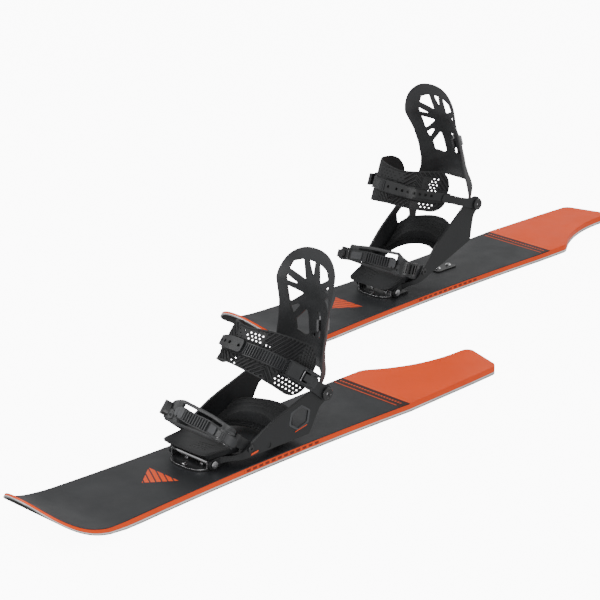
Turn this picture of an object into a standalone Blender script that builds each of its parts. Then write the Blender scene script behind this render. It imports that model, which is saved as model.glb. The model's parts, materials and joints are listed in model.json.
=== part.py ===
"""Pair of short touring skis, each with a free-heel strap binding.

World frame: metres, +Z up, skis on Z = 0, noses towards -Y.
The left ski lies at +X and the right ski at -X, set back along +Y.
A ski is drawn in ski axes: x outward from its centreline, y from the tail band, z up.
A binding is drawn in binding axes: x outward, y back and z up from its toe pivot.
"""
from math import cos, hypot, pi, radians, sin, sqrt

import bmesh
import bpy
from mathutils import Matrix, Vector

# Layout of the pair
SKI_X = 0.1484            # centreline of each ski, either side of X = 0
STAGGER = 0.679           # how far the right ski is set back
RIGHT_PITCH = radians(20)  # heel lift of the right binding at rest
RIGHT_SETBACK = 0.012     # the right binding is mounted this much further back

# Ski outline
NOSE_END = -0.703
NOSE_Y = -0.600           # widest point of the nose
NOSE_POWER = 2.3
WAIST_HALF = 0.0676
WAIST_Y = -0.245
SIDECUT = 0.1             # half-width gained per metre squared from the waist
TAIL_TAPER = 0.033
CUT_START_Y = 0.045       # the tail cut-out begins here on the inner side
CUT_END = (-0.017, 0.212)
CUT_POWER = 2.3
UPTURN_Y = -0.565
UPTURN_RISE = 0.055
UPTURN_POWER = 2.8

# Ski layers, heights above the running surface
GAP = 0.0003
BASE_TOP = 0.0016
EDGE_TOP = 0.0030
GLASS = (0.0036, 0.0045)
BODY = (0.0049, 0.0130)
SKIN = (0.0135, 0.0145)
EDGE_WIDTH = 0.0022
SIDEWALL_WIDTH = 0.007

# Binding
PIVOT_Y = -0.375          # toe pivot, in ski axes
PIVOT_Z = 0.024
PIN_RADIUS = 0.004
BRACKET_BOTTOM = SKIN[1] + GAP - PIVOT_Z
BRACKET_TOP = BRACKET_BOTTOM + 0.0026
EAR_RADIUS = 0.0086
EAR_X = (0.0362, 0.0395)
CHEEK_X = (0.0400, 0.0440)
WALL_X = (0.0625, 0.0665)
FLOOR_Z = (0.0030, 0.0065)
FLOOR_END = 0.170
HOLE_CENTRE_Y = 0.081
HOLE_RADII = (0.046, 0.043)
ANKLE = (0.2004, 0.0578)  # y, z of the ankle bolts
ANKLE_BOLT_RADIUS = 0.0030
BOSS_RADIUS = 0.0125
TOE_ANCHOR = (0.0500, 0.0165)
TOE_BOLT_RADIUS = 0.0022

# Highback
BACK_TOP = 0.2595
BACK_THICK = 0.003
BACK_ROUND_Z = 0.205
SLOT_Z = (0.112, 0.154)
SLOT_HALF = 0.0030
BLOCK_Z = (0.124, 0.142)
# Its sections: z, centre x, half-width, y of the side edges, depth of the middle, power
BACK_SECTIONS = (
    (0.0640, 0.0, 0.0605, 0.1904, 0.0240, 8.0), (0.0765, 0.0, 0.0600, 0.1970, 0.0340, 5.0),
    (0.0900, 0.0010, 0.0560, 0.2030, 0.0390, 2.6), (0.1050, 0.0018, 0.0505, 0.2092, 0.0398, 2.0),
    (0.1200, 0.0026, 0.0485, 0.2129, 0.0396, 2.0), (0.1450, 0.0037, 0.0490, 0.2168, 0.0367, 2.0),
    (0.1700, 0.0053, 0.0510, 0.2183, 0.0312, 2.0), (0.2050, 0.0078, 0.0575, 0.2169, 0.0236, 2.0),
    (0.2350, 0.0095, 0.0575, 0.2244, 0.0146, 2.0), (0.2595, 0.0100, 0.0575, 0.2285, 0.0105, 2.0),
)

# Straps: offsets outward from the pad's outer surface
ARM_LAYER = (0.0004, 0.0030)
ANKLE_RATCHET_LAYER = (0.0034, 0.0150)
ANKLE_LEVER_LAYER = (0.0154, 0.0190)
TOE_RATCHET_LAYER = (0.0034, 0.0160)
TOE_LEVER_LAYER = (0.0164, 0.0200)

BLACK = (0.020, 0.021, 0.023)
GREY = (0.060, 0.062, 0.066)
ORANGE = (0.90, 0.16, 0.03)
WHITE = (0.85, 0.85, 0.83)
STEEL = (0.45, 0.45, 0.46)

# Window corners of one half of the highback, x and z, about an axis set outwards
WINDOW_SHIFT = 0.004
BACK_WINDOWS = (
    ((0.0148, 0.2360), (0.0331, 0.2297), (0.0390, 0.2190), (0.0130, 0.2037)),
    ((0.0420, 0.2115), (0.0415, 0.2000), (0.0290, 0.1955), (0.0270, 0.1985)),
    ((0.0415, 0.1930), (0.0205, 0.1815), (0.0395, 0.1660)),
    ((0.0388, 0.1590), (0.0293, 0.1640), (0.0275, 0.1610), (0.0360, 0.1475)),
    ((0.0190, 0.1570), (0.0335, 0.1390), (0.0320, 0.1235), (0.0215, 0.1145), (0.0165, 0.1165)),
)
TOP_WINDOW = ((-0.0062, 0.2365), (0.0062, 0.2365), (0.0, 0.2125))
LOW_WINDOW = ((-0.0130, 0.1040), (-0.0065, 0.1040), (-0.0065, 0.1100), (-0.0130, 0.1100))


# ---------------------------------------------------------------- scene and materials
def clear_scene():
    for item in list(bpy.data.objects):
        bpy.data.objects.remove(item, do_unlink=True)


def new_collection(name):
    collection = bpy.data.collections.new(name)
    bpy.context.scene.collection.children.link(collection)
    return collection


def make_material(name, colour, roughness, metallic=0.0):
    material = bpy.data.materials.new(name)
    material.use_nodes = True
    shader = material.node_tree.nodes["Principled BSDF"]
    shader.inputs["Base Color"].default_value = (*colour, 1.0)
    shader.inputs["Roughness"].default_value = roughness
    shader.inputs["Metallic"].default_value = metallic
    return material


clear_scene()
PARTS = new_collection("touring_ski_pair")
CUTTERS = new_collection("cutters")


# ---------------------------------------------------------------- frames
class Side:
    """One ski and its binding: where they stand and which way outward points."""

    def __init__(self, name, sign, band_y, pitch, setback):
        self.name = name
        self.sign = sign
        self.ski = Vector((sign * SKI_X, band_y, 0.0))
        pivot = self.ski + Vector((0.0, PIVOT_Y + setback, PIVOT_Z))
        self.ski_axis = self.empty("ski", Matrix.Translation(self.ski))
        self.toe_axis = self.empty(
            "toe_axis", Matrix.Translation(pivot) @ Matrix.Rotation(pitch, 4, "X"))
        self.mount_axis = self.empty("mount", Matrix.Translation(pivot))

    def empty(self, name, matrix, parent=None):
        item = bpy.data.objects.new(f"{self.name}_{name}", None)
        CUTTERS.objects.link(item)
        item.parent = parent
        item.matrix_local = matrix
        return item

    def axis_at(self, name, place):
        """An empty on a joint's axis, at a place in binding axes."""
        x, y, z = place
        spot = Matrix.Translation((self.sign * x, y, z))
        item = self.empty(name, spot, self.toe_axis)
        item["place"] = (x, y, z)
        return item


def add_object(side, name, bm, parent, collection=PARTS):
    """Turns outward coordinates into this side's, about the parent's own origin."""
    origin = Vector(parent.get("place", (0.0, 0.0, 0.0)))
    for vert in bm.verts:
        vert.co -= origin
        vert.co.x *= side.sign
    bmesh.ops.remove_doubles(bm, verts=bm.verts, dist=0.00001)
    bmesh.ops.recalc_face_normals(bm, faces=bm.faces)
    mesh = bpy.data.meshes.new(name)
    bm.to_mesh(mesh)
    bm.free()
    item = bpy.data.objects.new(f"{side.name}_{name}", mesh)
    item.parent = parent
    collection.objects.link(item)
    return item


def add_part(side, name, bm, parent, material, smooth=False):
    item = add_object(side, name, bm, parent)
    own = material.copy()
    own.name = f"{side.name}_{name}_finish"
    item.data.materials.append(own)
    if smooth:
        item.data.shade_smooth()
        item.data.set_sharp_from_angle(angle=radians(35))
    return item


def boolean(item, side, name, bm, parent, operation="DIFFERENCE"):
    tool = add_object(side, name, bm, parent, CUTTERS)
    tool.hide_render = True
    tool.display_type = "WIRE"
    modifier = item.modifiers.new(name, "BOOLEAN")
    modifier.operation = operation
    modifier.object = tool
    return tool


# ---------------------------------------------------------------- shape helpers
def loft(sections):
    """A closed solid through rings of points, all rings the same length."""
    bm = bmesh.new()
    rings = [[bm.verts.new(point) for point in section] for section in sections]
    count = len(rings[0])
    for ring, after in zip(rings, rings[1:]):
        for i in range(count):
            j = (i + 1) % count
            bm.faces.new((ring[i], ring[j], after[j], after[i]))
    bm.faces.new(rings[0])
    bm.faces.new(list(reversed(rings[-1])))
    return bm


def prism(points, low, high, axis="z"):
    """A flat outline pulled from low to high along one axis."""
    place = {
        "x": lambda a, b, c: (c, a, b),
        "y": lambda a, b, c: (a, c, b),
        "z": lambda a, b, c: (a, b, c),
    }[axis]
    return loft([[place(a, b, level) for a, b in points] for level in (low, high)])


def turned_x(profile, y, z, segments=12):
    """A round piece about an axis along x, from (x, radius) stations."""
    sections = []
    for x, radius in profile:
        ring = [2 * pi * (i + 0.5) / segments for i in range(segments)]
        sections.append([(x, y + radius * cos(a), z + radius * sin(a)) for a in ring])
    return loft(sections)


def merged(*meshes):
    """Several closed meshes in one bmesh, kept apart."""
    result = bmesh.new()
    for bm in meshes:
        mesh = bpy.data.meshes.new("merge")
        bm.to_mesh(mesh)
        bm.free()
        result.from_mesh(mesh)
        bpy.data.meshes.remove(mesh)
    return result


def fillet(before, corner, after, radius, steps=4):
    """Arc points that round one corner of an outline."""
    corner = Vector(corner)
    back = (Vector(before) - corner).normalized()
    ahead = (Vector(after) - corner).normalized()
    half = back.angle(ahead) / 2
    reach = radius * cos(half) / sin(half)
    centre = corner + (back + ahead).normalized() * (radius / sin(half))
    start = corner + back * reach - centre
    sweep = start.angle_signed(corner + ahead * reach - centre)
    turn = [Matrix.Rotation(-sweep * i / steps, 2) for i in range(steps + 1)]
    return [tuple(centre + rotation @ start) for rotation in turn]


# ---------------------------------------------------------------- ski
def half_width(y):
    if y > 0:
        return WAIST_HALF + SIDECUT * WAIST_Y ** 2 - TAIL_TAPER * y
    return WAIST_HALF + SIDECUT * (y - WAIST_Y) ** 2


def cut_x(y):
    """Inner edge of the tail, hollowed between the cut's start and its end."""
    along = (y - CUT_START_Y) / (CUT_END[1] - CUT_START_Y)
    depth = half_width(CUT_START_Y) + CUT_END[0]
    return CUT_END[0] - depth * (1 - along) ** CUT_POWER


def nose_stations(count=9):
    reach = NOSE_END - NOSE_Y
    angles = [pi / 2 * i / count for i in range(count)]
    width = half_width(NOSE_Y)
    power = 2 / NOSE_POWER
    return [(width * sin(a) ** power, NOSE_Y + reach * cos(a) ** power) for a in angles]


def ski_outline():
    """Closed plan outline, from the nose down the outer side and back up the inner one."""
    nose = nose_stations()
    side_y = [-0.600, -0.565, -0.48, -0.36, -0.24, -0.12, -0.03]
    outer = [(half_width(y), y) for y in side_y + [0.06, 0.15]]
    end_outer = (0.0655, 0.2085)
    end_inner = (-0.0165, 0.2330)
    last_cut = (cut_x(0.200), 0.200)
    outline = nose + outer
    outline += fillet(outer[-1], end_outer, end_inner, 0.016, 5)
    outline += fillet(end_outer, end_inner, last_cut, 0.0115, 5)
    outline += [(cut_x(y), y) for y in (0.185, 0.160, 0.135, 0.110, 0.090, 0.073)]
    corner = (-half_width(CUT_START_Y), CUT_START_Y)
    outline += fillet((cut_x(0.073), 0.073), corner, (-half_width(0.0), 0.0), 0.030, 4)
    outline += [(-half_width(y), y) for y in reversed(side_y)]
    outline += [(-x, y) for x, y in reversed(nose[1:])]
    return outline


def inset(outline, distance):
    """The outline moved inwards along its corners' bisectors."""
    result = []
    count = len(outline)
    for i, point in enumerate(outline):
        a = Vector(outline[i - 1])
        b = Vector(point)
        c = Vector(outline[(i + 1) % count])
        first = (b - a).normalized().orthogonal()
        second = (c - b).normalized().orthogonal()
        bisector = (first + second).normalized()
        result.append(tuple(b + bisector * (distance / bisector.dot(first))))
    return result


def upturn(y, height):
    """Where a point of the flat ski goes once its nose is bent up."""
    if y >= UPTURN_Y:
        return y, height
    run = UPTURN_Y - NOSE_END
    part = (UPTURN_Y - y) / run
    rise = UPTURN_RISE * part ** UPTURN_POWER
    slope = UPTURN_RISE * UPTURN_POWER * part ** (UPTURN_POWER - 1) / run
    length = hypot(1.0, slope)
    return y + height * slope / length, rise + height / length


def bend(bm):
    for vert in bm.verts:
        vert.co.y, vert.co.z = upturn(vert.co.y, vert.co.z)
    return bm


def slab(outline, layer):
    """One full layer of the ski, cut across the nose so that it can bend."""
    bm = prism(outline, *layer)
    stations = [y for _, y in nose_stations()[1:]] + [NOSE_Y, -0.5825, UPTURN_Y]
    for y in stations:
        geometry = bm.verts[:] + bm.edges[:] + bm.faces[:]
        bmesh.ops.bisect_plane(
            bm, geom=geometry, dist=0.00002, plane_co=(0, y, 0), plane_no=(0, 1, 0))
    return bend(bm)


def hoop(outer, inner, layer):
    """A closed rim between two outlines."""
    low, high = layer
    bm = bmesh.new()
    rings = []
    for (xa, ya), (xb, yb) in zip(outer, inner):
        corners = ((xa, ya, low), (xa, ya, high), (xb, yb, high), (xb, yb, low))
        rings.append([bm.verts.new(corner) for corner in corners])
    for i, ring in enumerate(rings):
        after = rings[(i + 1) % len(rings)]
        for k in range(4):
            m = (k + 1) % 4
            bm.faces.new((ring[k], ring[m], after[m], after[k]))
    return bend(bm)


def build_ski(side):
    outline = ski_outline()
    place = side.ski_axis
    inner_edge = inset(outline, EDGE_WIDTH)
    base = inset(outline, EDGE_WIDTH + GAP)
    inner_wall = inset(outline, SIDEWALL_WIDTH)
    core = inset(outline, SIDEWALL_WIDTH + GAP)
    add_part(side, "running_base", slab(base, (0.0, BASE_TOP)), place, DARK_PLASTIC)
    add_part(side, "steel_edge", hoop(outline, inner_edge, (0.0, EDGE_TOP)), place, METAL)
    add_part(side, "glass_layer", slab(outline, GLASS), place, WHITE_PLASTIC)
    add_part(side, "sidewall", hoop(outline, inner_wall, BODY), place, ORANGE_PLASTIC)
    add_part(side, "core", slab(core, BODY), place, WOOD)
    add_part(side, "top_sheet", slab(outline, SKIN), place, GREY_PLASTIC)


# ---------------------------------------------------------------- hardware on the ski
def build_bracket(side):
    place = side.mount_axis
    front = [(-0.030, -0.0185), (-0.012, -0.0245), (0.012, -0.0245), (0.030, -0.0185)]
    plan = front + [(EAR_X[1], -0.007), (EAR_X[1], 0.032), (-EAR_X[1], 0.032), (-EAR_X[1], -0.007)]
    bracket = add_part(
        side, "toe_bracket", prism(plan, BRACKET_BOTTOM, BRACKET_TOP), place, METAL)
    foot = BRACKET_TOP - 0.001
    arc = [pi * i / 8 for i in range(9)]
    ear = [(EAR_RADIUS * cos(a), EAR_RADIUS * sin(a)) for a in arc]
    ear += [(-EAR_RADIUS, foot), (EAR_RADIUS, foot)]
    ears = merged(
        prism(ear, EAR_X[0], EAR_X[1] - 0.0001, "x"),
        prism(ear, 0.0001 - EAR_X[1], -EAR_X[0], "x"))
    boolean(bracket, side, "bracket_ears", ears, place, "UNION")
    bore = turned_x([(-0.06, PIN_RADIUS + GAP), (0.06, PIN_RADIUS + GAP)], 0, 0)
    boolean(bracket, side, "bracket_bore", bore, place)
    head = PIN_RADIUS + 0.002
    end = CHEEK_X[1] + 0.0005
    pin = [(-end - 0.002, head), (-end, head), (-end, PIN_RADIUS), (end, PIN_RADIUS),
           (end, head), (end + 0.002, head)]
    add_part(side, "toe_pivot_pin", turned_x(pin, 0, 0), place, METAL, True)


def build_heel_rest(side):
    """A low plate on the ski with one stud under the heel and one behind it."""
    place = side.mount_axis
    low = BRACKET_BOTTOM
    plan = [(0.011, 0.138), (0.011, 0.186), (-0.011, 0.186), (-0.011, 0.138)]
    rest = add_part(side, "heel_rest", prism(plan, low, low + 0.0022), place, METAL)
    studs = []
    for y in (0.149, 0.175):
        ring = [2 * pi * i / 12 for i in range(12)]
        circle = [(0.0048 * cos(a), y + 0.0048 * sin(a)) for a in ring]
        studs.append(prism(circle, low + 0.001, low + 0.0050))
    boolean(rest, side, "rest_studs", merged(*studs), place, "UNION")


# ---------------------------------------------------------------- chassis
def wall_sections():
    """Stations along the wall: y, outer x, bottom and top."""
    y_bolt, z_bolt = ANKLE
    stations = [(-0.0082, 0.0440, -0.0026, 0.0026), (-0.0058, 0.0440, -0.0063, 0.0063)]
    stations += [(0.0, 0.0440, -0.0086, 0.0086), (0.0064, 0.0440, -0.0058, 0.0086)]
    stations += [(0.012, 0.0440, -0.0020, 0.0086), (0.024, 0.0556, 0.0020, 0.0090)]
    stations += [(0.036, WALL_X[1], FLOOR_Z[0], 0.0150), (0.059, WALL_X[1], FLOOR_Z[0], 0.0262)]
    stations += [(0.091, WALL_X[1], FLOOR_Z[0], 0.0420), (0.133, WALL_X[1], FLOOR_Z[0], 0.0560)]
    stations += [(0.168, WALL_X[1], FLOOR_Z[0], 0.0665), (0.179, WALL_X[1], 0.0220, 0.0695)]
    stations += [(0.190, WALL_X[1], 0.0395, 0.0706)]
    for part in (0.0, 0.5, 0.85):
        rise = BOSS_RADIUS * sqrt(1 - part ** 2)
        stations.append((y_bolt + part * BOSS_RADIUS, WALL_X[1], z_bolt - rise, z_bolt + rise))
    return stations


def wall():
    thick = WALL_X[1] - WALL_X[0]
    return loft([
        [(x - thick, y, low), (x, y, low), (x, y, high), (x - thick, y, high)]
        for y, x, low, high in wall_sections()])


def floor():
    side_x = WALL_X[0] + 0.001
    plan = [(0.0545, 0.026), (side_x, 0.038), (side_x, FLOOR_END - 0.001)]
    plan += [(-x, y) for x, y in reversed(plan)]
    return prism(plan, FLOOR_Z[0] + 0.0001, FLOOR_Z[1])


def hexagon(centre_y, centre_z, length, height):
    """A hexagon that leans back like the wall's window."""
    ring = [2 * pi * i / 6 + 0.35 for i in range(6)]
    return [(centre_y + length * cos(a), centre_z + height * sin(a)) for a in ring]


def build_chassis(side):
    place = side.toe_axis
    other = wall()
    for vert in other.verts:
        vert.co.x *= -1
    chassis = add_part(side, "chassis", floor(), place, BLACK_PLASTIC)
    boolean(chassis, side, "chassis_walls", merged(wall(), other), place, "UNION")
    boss = [(0.012, 0.152), (0.012, FLOOR_END - 0.002), (-0.012, FLOOR_END - 0.002), (-0.012, 0.152)]
    boolean(chassis, side, "heel_boss", prism(boss, -0.0036, 0.0045), place, "UNION")
    ring = [2 * pi * i / 24 for i in range(24)]
    oval = [(HOLE_RADII[0] * cos(a), HOLE_CENTRE_Y + HOLE_RADII[1] * sin(a)) for a in ring]
    boolean(chassis, side, "floor_hole", prism(oval, -0.01, 0.02), place)
    reach = 0.08
    bores = [
        turned_x([(-reach, PIN_RADIUS + GAP), (reach, PIN_RADIUS + GAP)], 0, 0),
        turned_x([(-reach, ANKLE_BOLT_RADIUS + GAP), (reach, ANKLE_BOLT_RADIUS + GAP)], *ANKLE),
        turned_x([(-reach, TOE_BOLT_RADIUS + GAP), (reach, TOE_BOLT_RADIUS + GAP)], *TOE_ANCHOR),
    ]
    boolean(chassis, side, "bolt_bores", merged(*bores), place)
    window = prism(hexagon(0.150, 0.034, 0.0175, 0.0145), 0.055, 0.075, "x")
    boolean(chassis, side, "wall_window", window, place)


def build_ramp(side):
    half = [(0.030, -0.0125), (0.0445, -0.0085), (0.0450, 0.0100), (0.0460, 0.0170)]
    half += [(0.0550, 0.0300), (0.0550, 0.0400)]
    plan = half + [(-x, y) for x, y in reversed(half)]
    ramp = prism(plan, 0.0092, 0.0200)
    add_part(side, "toe_ramp", ramp, side.toe_axis, BLACK_PLASTIC)


def build_heel_pad(side):
    """A scooped pad between the walls, rising to the heel."""
    sections = []
    for y, middle, edge in ((0.127, 0.0088, 0.0200), (0.140, 0.0130, 0.0350),
                            (0.155, 0.0190, 0.0480), (0.1685, 0.0250, 0.0580)):
        half = [(0.0620, FLOOR_Z[1] + GAP), (0.0620, edge), (0.0585, edge)]
        half += [(0.0520, middle + 0.3 * (edge - middle)), (0.0400, middle)]
        ring = half + [(-x, z) for x, z in reversed(half)]
        sections.append([(x, y, z) for x, z in ring])
    add_part(side, "heel_pad", loft(sections), side.toe_axis, DARK_PLASTIC)


def build_bolts(side):
    face = WALL_X[1] + ARM_LAYER[1] + 0.0008
    for name, sign in (("outer", 1), ("inner", -1)):
        ankle = [(0.0555, ANKLE_BOLT_RADIUS), (face, ANKLE_BOLT_RADIUS),
                 (face, 0.0100), (face + 0.0030, 0.0095)]
        profile = [(sign * x, r) for x, r in ankle]
        add_part(side, f"ankle_bolt_{name}", turned_x(profile, *ANKLE), side.toe_axis, METAL, True)
        toe = [(0.0570, 0.0045), (0.0588, 0.0045), (0.0588, TOE_BOLT_RADIUS),
               (0.0668, TOE_BOLT_RADIUS), (0.0668, 0.0055), (0.0690, 0.0050)]
        profile = [(sign * x, r) for x, r in toe]
        bolt = turned_x(profile, *TOE_ANCHOR)
        add_part(side, f"toe_bolt_{name}", bolt, side.toe_axis, METAL, True)


# ---------------------------------------------------------------- highback
def back_section(z):
    """Centre, half-width, y of the edges, depth and power of the highback at a height."""
    y_bolt, z_bolt = ANKLE
    if z <= BACK_SECTIONS[0][0]:
        ear = BOSS_RADIUS - 0.001
        front = y_bolt - sqrt(max(ear ** 2 - (z - z_bolt) ** 2, 0.0))
        _, centre, half, _, depth, power = BACK_SECTIONS[0]
        return centre, half, front, depth, power
    for below, above in zip(BACK_SECTIONS, BACK_SECTIONS[1:]):
        if z <= above[0]:
            part = (z - below[0]) / (above[0] - below[0])
            break
    return [a + (b - a) * part for a, b in zip(below[1:], above[1:])]


def back_point(z, turn):
    """A point of the highback's middle surface; turn runs from -1 to 1 across it."""
    centre, half, front, depth, power = back_section(z)
    if z > BACK_ROUND_Z:
        part = (z - BACK_ROUND_Z) / (BACK_TOP - BACK_ROUND_Z)
        half *= (1 - min(part, 1.0) ** 2.3) ** (1 / 2.3)
    across = sin(turn * pi / 2)
    return centre + half * across, front + depth * (1 - abs(across) ** power), z


def build_highback(side, axis):
    low = ANKLE[1] - BOSS_RADIUS + 0.0011
    rows = [low, 0.050, 0.0578, 0.064, 0.0765, 0.090, 0.105, 0.120, 0.145, 0.170]
    rows += [0.190, 0.205, 0.220, 0.235, 0.2455, 0.253, 0.2575, 0.2592]
    columns = 14
    bm = bmesh.new()
    grid = []
    for z in rows:
        turns = [2 * i / columns - 1 for i in range(columns + 1)]
        grid.append([bm.verts.new(back_point(z, turn)) for turn in turns])
    for row, above in zip(grid, grid[1:]):
        for i in range(columns):
            bm.faces.new((row[i], row[i + 1], above[i + 1], above[i]))
    back = add_part(side, "highback", bm, axis, BLACK_PLASTIC, True)
    solid = back.modifiers.new("thickness", "SOLIDIFY")
    solid.thickness = BACK_THICK
    solid.offset = 0.0
    outlines = [TOP_WINDOW, LOW_WINDOW]
    for points in BACK_WINDOWS:
        outlines += [points, [(-x, z) for x, z in reversed(points)]]
    outlines.append([(-SLOT_HALF, SLOT_Z[0]), (SLOT_HALF, SLOT_Z[0]),
                     (SLOT_HALF, SLOT_Z[1]), (-SLOT_HALF, SLOT_Z[1])])
    outlines = [[(x + WINDOW_SHIFT, z) for x, z in points] for points in outlines]
    half = [(0.0500, 0.030), (0.0500, 0.058), (0.0430, 0.069), (0.0240, 0.0775)]
    outlines.append(half + [(-x, z) for x, z in reversed(half)])
    windows = [prism(points, 0.15, 0.30, "y") for points in outlines]
    reach = 0.08
    windows.append(turned_x([(-reach, ANKLE_BOLT_RADIUS + GAP), (reach, ANKLE_BOLT_RADIUS + GAP)],
                            *ANKLE))
    boolean(back, side, "back_windows", merged(*windows), axis)


def build_lean_block(side, axis):
    """A block behind the highback whose key runs in the slot."""
    sections = []
    low, high = BLOCK_Z
    bottom = back_point(SLOT_Z[0], 0.0)[1]
    rise = (back_point(SLOT_Z[1], 0.0)[1] - bottom) / (SLOT_Z[1] - SLOT_Z[0])
    for z in (low, high):
        face = bottom + rise * (z - SLOT_Z[0]) + BACK_THICK / 2 + 0.0022
        key = face - BACK_THICK - 0.0040
        half = [(0.0085, face + 0.0090), (0.0085, face), (0.0022, face), (0.0022, key)]
        ring = half + [(-x, y) for x, y in reversed(half)]
        sections.append([(x + WINDOW_SHIFT, y, z) for x, y in ring])
    add_part(side, "lean_block", loft(sections), axis, METAL)


# ---------------------------------------------------------------- straps
class Arch:
    """A strap's path over the boot, from the inner anchor (-90) to the outer one (90)."""

    def __init__(self, anchor, forward, half, height, sag, power, bulges):
        self.forward = Vector((0.0, *forward)).normalized()
        self.width = Vector((0.0, self.forward.z, -self.forward.y))
        self.anchor = Vector((0.0, *anchor))
        self.half = half
        self.height = height
        self.sag = sag
        self.power = power
        self.bulges = bulges

    def bulge(self, degrees):
        """How far a shoulder stands out beyond the plain curve."""
        start, inner, outer = self.bulges
        part = max(abs(degrees) - start, 0.0) / (90 - start)
        return (outer if degrees > 0 else inner) * sin(pi * part) ** 2

    def point(self, degrees, offset, across):
        """A point at an angle, an offset outward and a distance across the strap."""
        angle = radians(degrees)
        side = 1 if degrees >= 0 else -1
        power = 2 / self.power
        u = abs(sin(angle)) ** power
        v = max(cos(angle), 0.0) ** power
        slope = self.power - 1
        offset += self.bulge(degrees)
        normal = Vector((side * u ** slope / self.half, v ** slope / self.height)).normalized()
        x = side * u * self.half + normal.x * offset
        rise = v * self.height + normal.y * offset
        drop = self.sag * cos(angle)
        return Vector((x, 0.0, 0.0)) + self.anchor + self.forward * rise + self.width * (across - drop)

    def band(self, start, end, layer, width):
        """A strap between two angles; width gives its two edges, also as a function."""
        sections = []
        count = round(abs(end - start) / 4)
        for i in range(count + 1):
            degrees = start + (end - start) * i / count
            near, far = width(degrees) if callable(width) else width
            corners = ((layer[0], near), (layer[1], near), (layer[1], far), (layer[0], far))
            sections.append([self.point(degrees, off, across) for off, across in corners])
        return loft(sections)


# The last tuple holds the angle where a shoulder starts and how far the inner and outer ones stand out
ANKLE_ARCH = Arch(ANKLE, (-0.76, 0.65), WALL_X[1] + GAP, 0.139, 0.010, 2.8, (0, 0.0, 0.012))
TOE_ARCH = Arch(TOE_ANCHOR, (-0.76, 0.65), 0.0590, 0.052, 0.002, 4.5, (25, 0.015, 0.013))
PAD_SPAN = (-66, 78)      # degrees along the ankle arch
PAD_MIDDLE = 0.006        # where the rounded ends of the pad come together
LADDER_EDGES = (-0.0060, 0.0140)


def pad_edges(degrees):
    """The ankle pad widens to both sides and is rounded off at its ends."""
    start, end = PAD_SPAN
    low = -0.0230 - 0.0110 * max(degrees / end, 0.0)
    high = 0.0365 + 0.0120 * min(abs(degrees) / 60, 1.0)
    left = min((degrees - start) / 16, 1.0)
    right = min((end - degrees) / 16, 1.0)
    rounding = 0.25 + 0.75 * sqrt(1 - (1 - min(left, right)) ** 2)
    return PAD_MIDDLE + (low - PAD_MIDDLE) * rounding, PAD_MIDDLE + (high - PAD_MIDDLE) * rounding


def cap_edges(degrees):
    """The toe cap is widest over the middle of the toe."""
    return -0.0145, 0.0190 - 0.0090 * min(abs(degrees) / 40, 1.0) ** 2


def toe_ladder_edges(degrees):
    """The toe ladder slants forward on its way to the buckle."""
    middle = 0.0015 - 0.00017 * max(degrees, -15)
    return middle - 0.0083, middle + 0.0083


def strap_arm(side, name, arch, axis, span, half, bolt, layer=ARM_LAYER):
    """A strap arm that ends in an eyelet round its bolt."""
    start, end = span
    sign = 1 if start > 0 else -1
    arm = add_part(side, name, arch.band(start, end, layer, (-half, half)), axis, BLACK_PLASTIC)
    y, z = arch.anchor.y, arch.anchor.z
    inside = sign * (arch.half + layer[0] + 0.00002)
    outside = sign * (arch.half + layer[1] - 0.00002)
    eyelet = turned_x([(inside, half + 0.0005), (outside, half + 0.0005)], y, z)
    boolean(arm, side, f"{name}_eyelet", eyelet, axis, "UNION")
    bore = turned_x([(sign * 0.04, bolt + GAP), (sign * 0.09, bolt + GAP)], y, z)
    boolean(arm, side, f"{name}_bore", bore, axis)


def build_ankle_strap(side, axis):
    arch = ANKLE_ARCH
    strap_arm(side, "ankle_arm_inner", arch, axis, (-90, -30), 0.0100, ANKLE_BOLT_RADIUS)
    strap_arm(side, "ankle_arm_outer", arch, axis, (90, 74), 0.0100, ANKLE_BOLT_RADIUS)
    pad = arch.band(*PAD_SPAN, (-0.0060, 0.0), pad_edges)
    add_part(side, "ankle_pad", pad, axis, DARK_PLASTIC)
    ladder = arch.band(-26, 70, ARM_LAYER, LADDER_EDGES)
    add_part(side, "ankle_ladder", ladder, axis, BLACK_PLASTIC)
    ratchet = arch.band(50, 82, ANKLE_RATCHET_LAYER, (-0.0090, 0.0160))
    add_part(side, "ankle_ratchet", ratchet, axis, BLACK_PLASTIC)


def build_toe_strap(side, axis):
    arch = TOE_ARCH
    strap_arm(side, "toe_arm_inner", arch, axis, (-90, -46), 0.0085, TOE_BOLT_RADIUS)
    strap_arm(side, "toe_arm_outer", arch, axis, (90, 62), 0.0085, TOE_BOLT_RADIUS)
    cap = add_part(side, "toe_cap", arch.band(-62, 62, (-0.0040, 0.0), cap_edges), axis,
                   DARK_PLASTIC)
    slot = arch.band(-30, 30, (-0.0080, 0.0040), (-0.0075, 0.0105))
    boolean(cap, side, "cap_slot", slot, axis)
    ladder = arch.band(-42, 58, ARM_LAYER, toe_ladder_edges)
    add_part(side, "toe_ladder", ladder, axis, BLACK_PLASTIC)
    ratchet = arch.band(34, 62, TOE_RATCHET_LAYER, toe_ladder_edges)
    add_part(side, "toe_ratchet", ratchet, axis, BLACK_PLASTIC)


def build_lever(side, name, arch, span, layer, edges):
    """A ratchet lever that turns about its end next to the anchor."""
    middle = sum(layer) / 2
    near, far = edges(span[1]) if callable(edges) else edges
    place = arch.point(span[1], middle, (near + far) / 2)
    axis = side.axis_at(f"{name}_axis", place)
    lever = arch.band(span[0], span[1], layer, edges)
    add_part(side, name, lever, axis, BLACK_PLASTIC)


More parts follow.
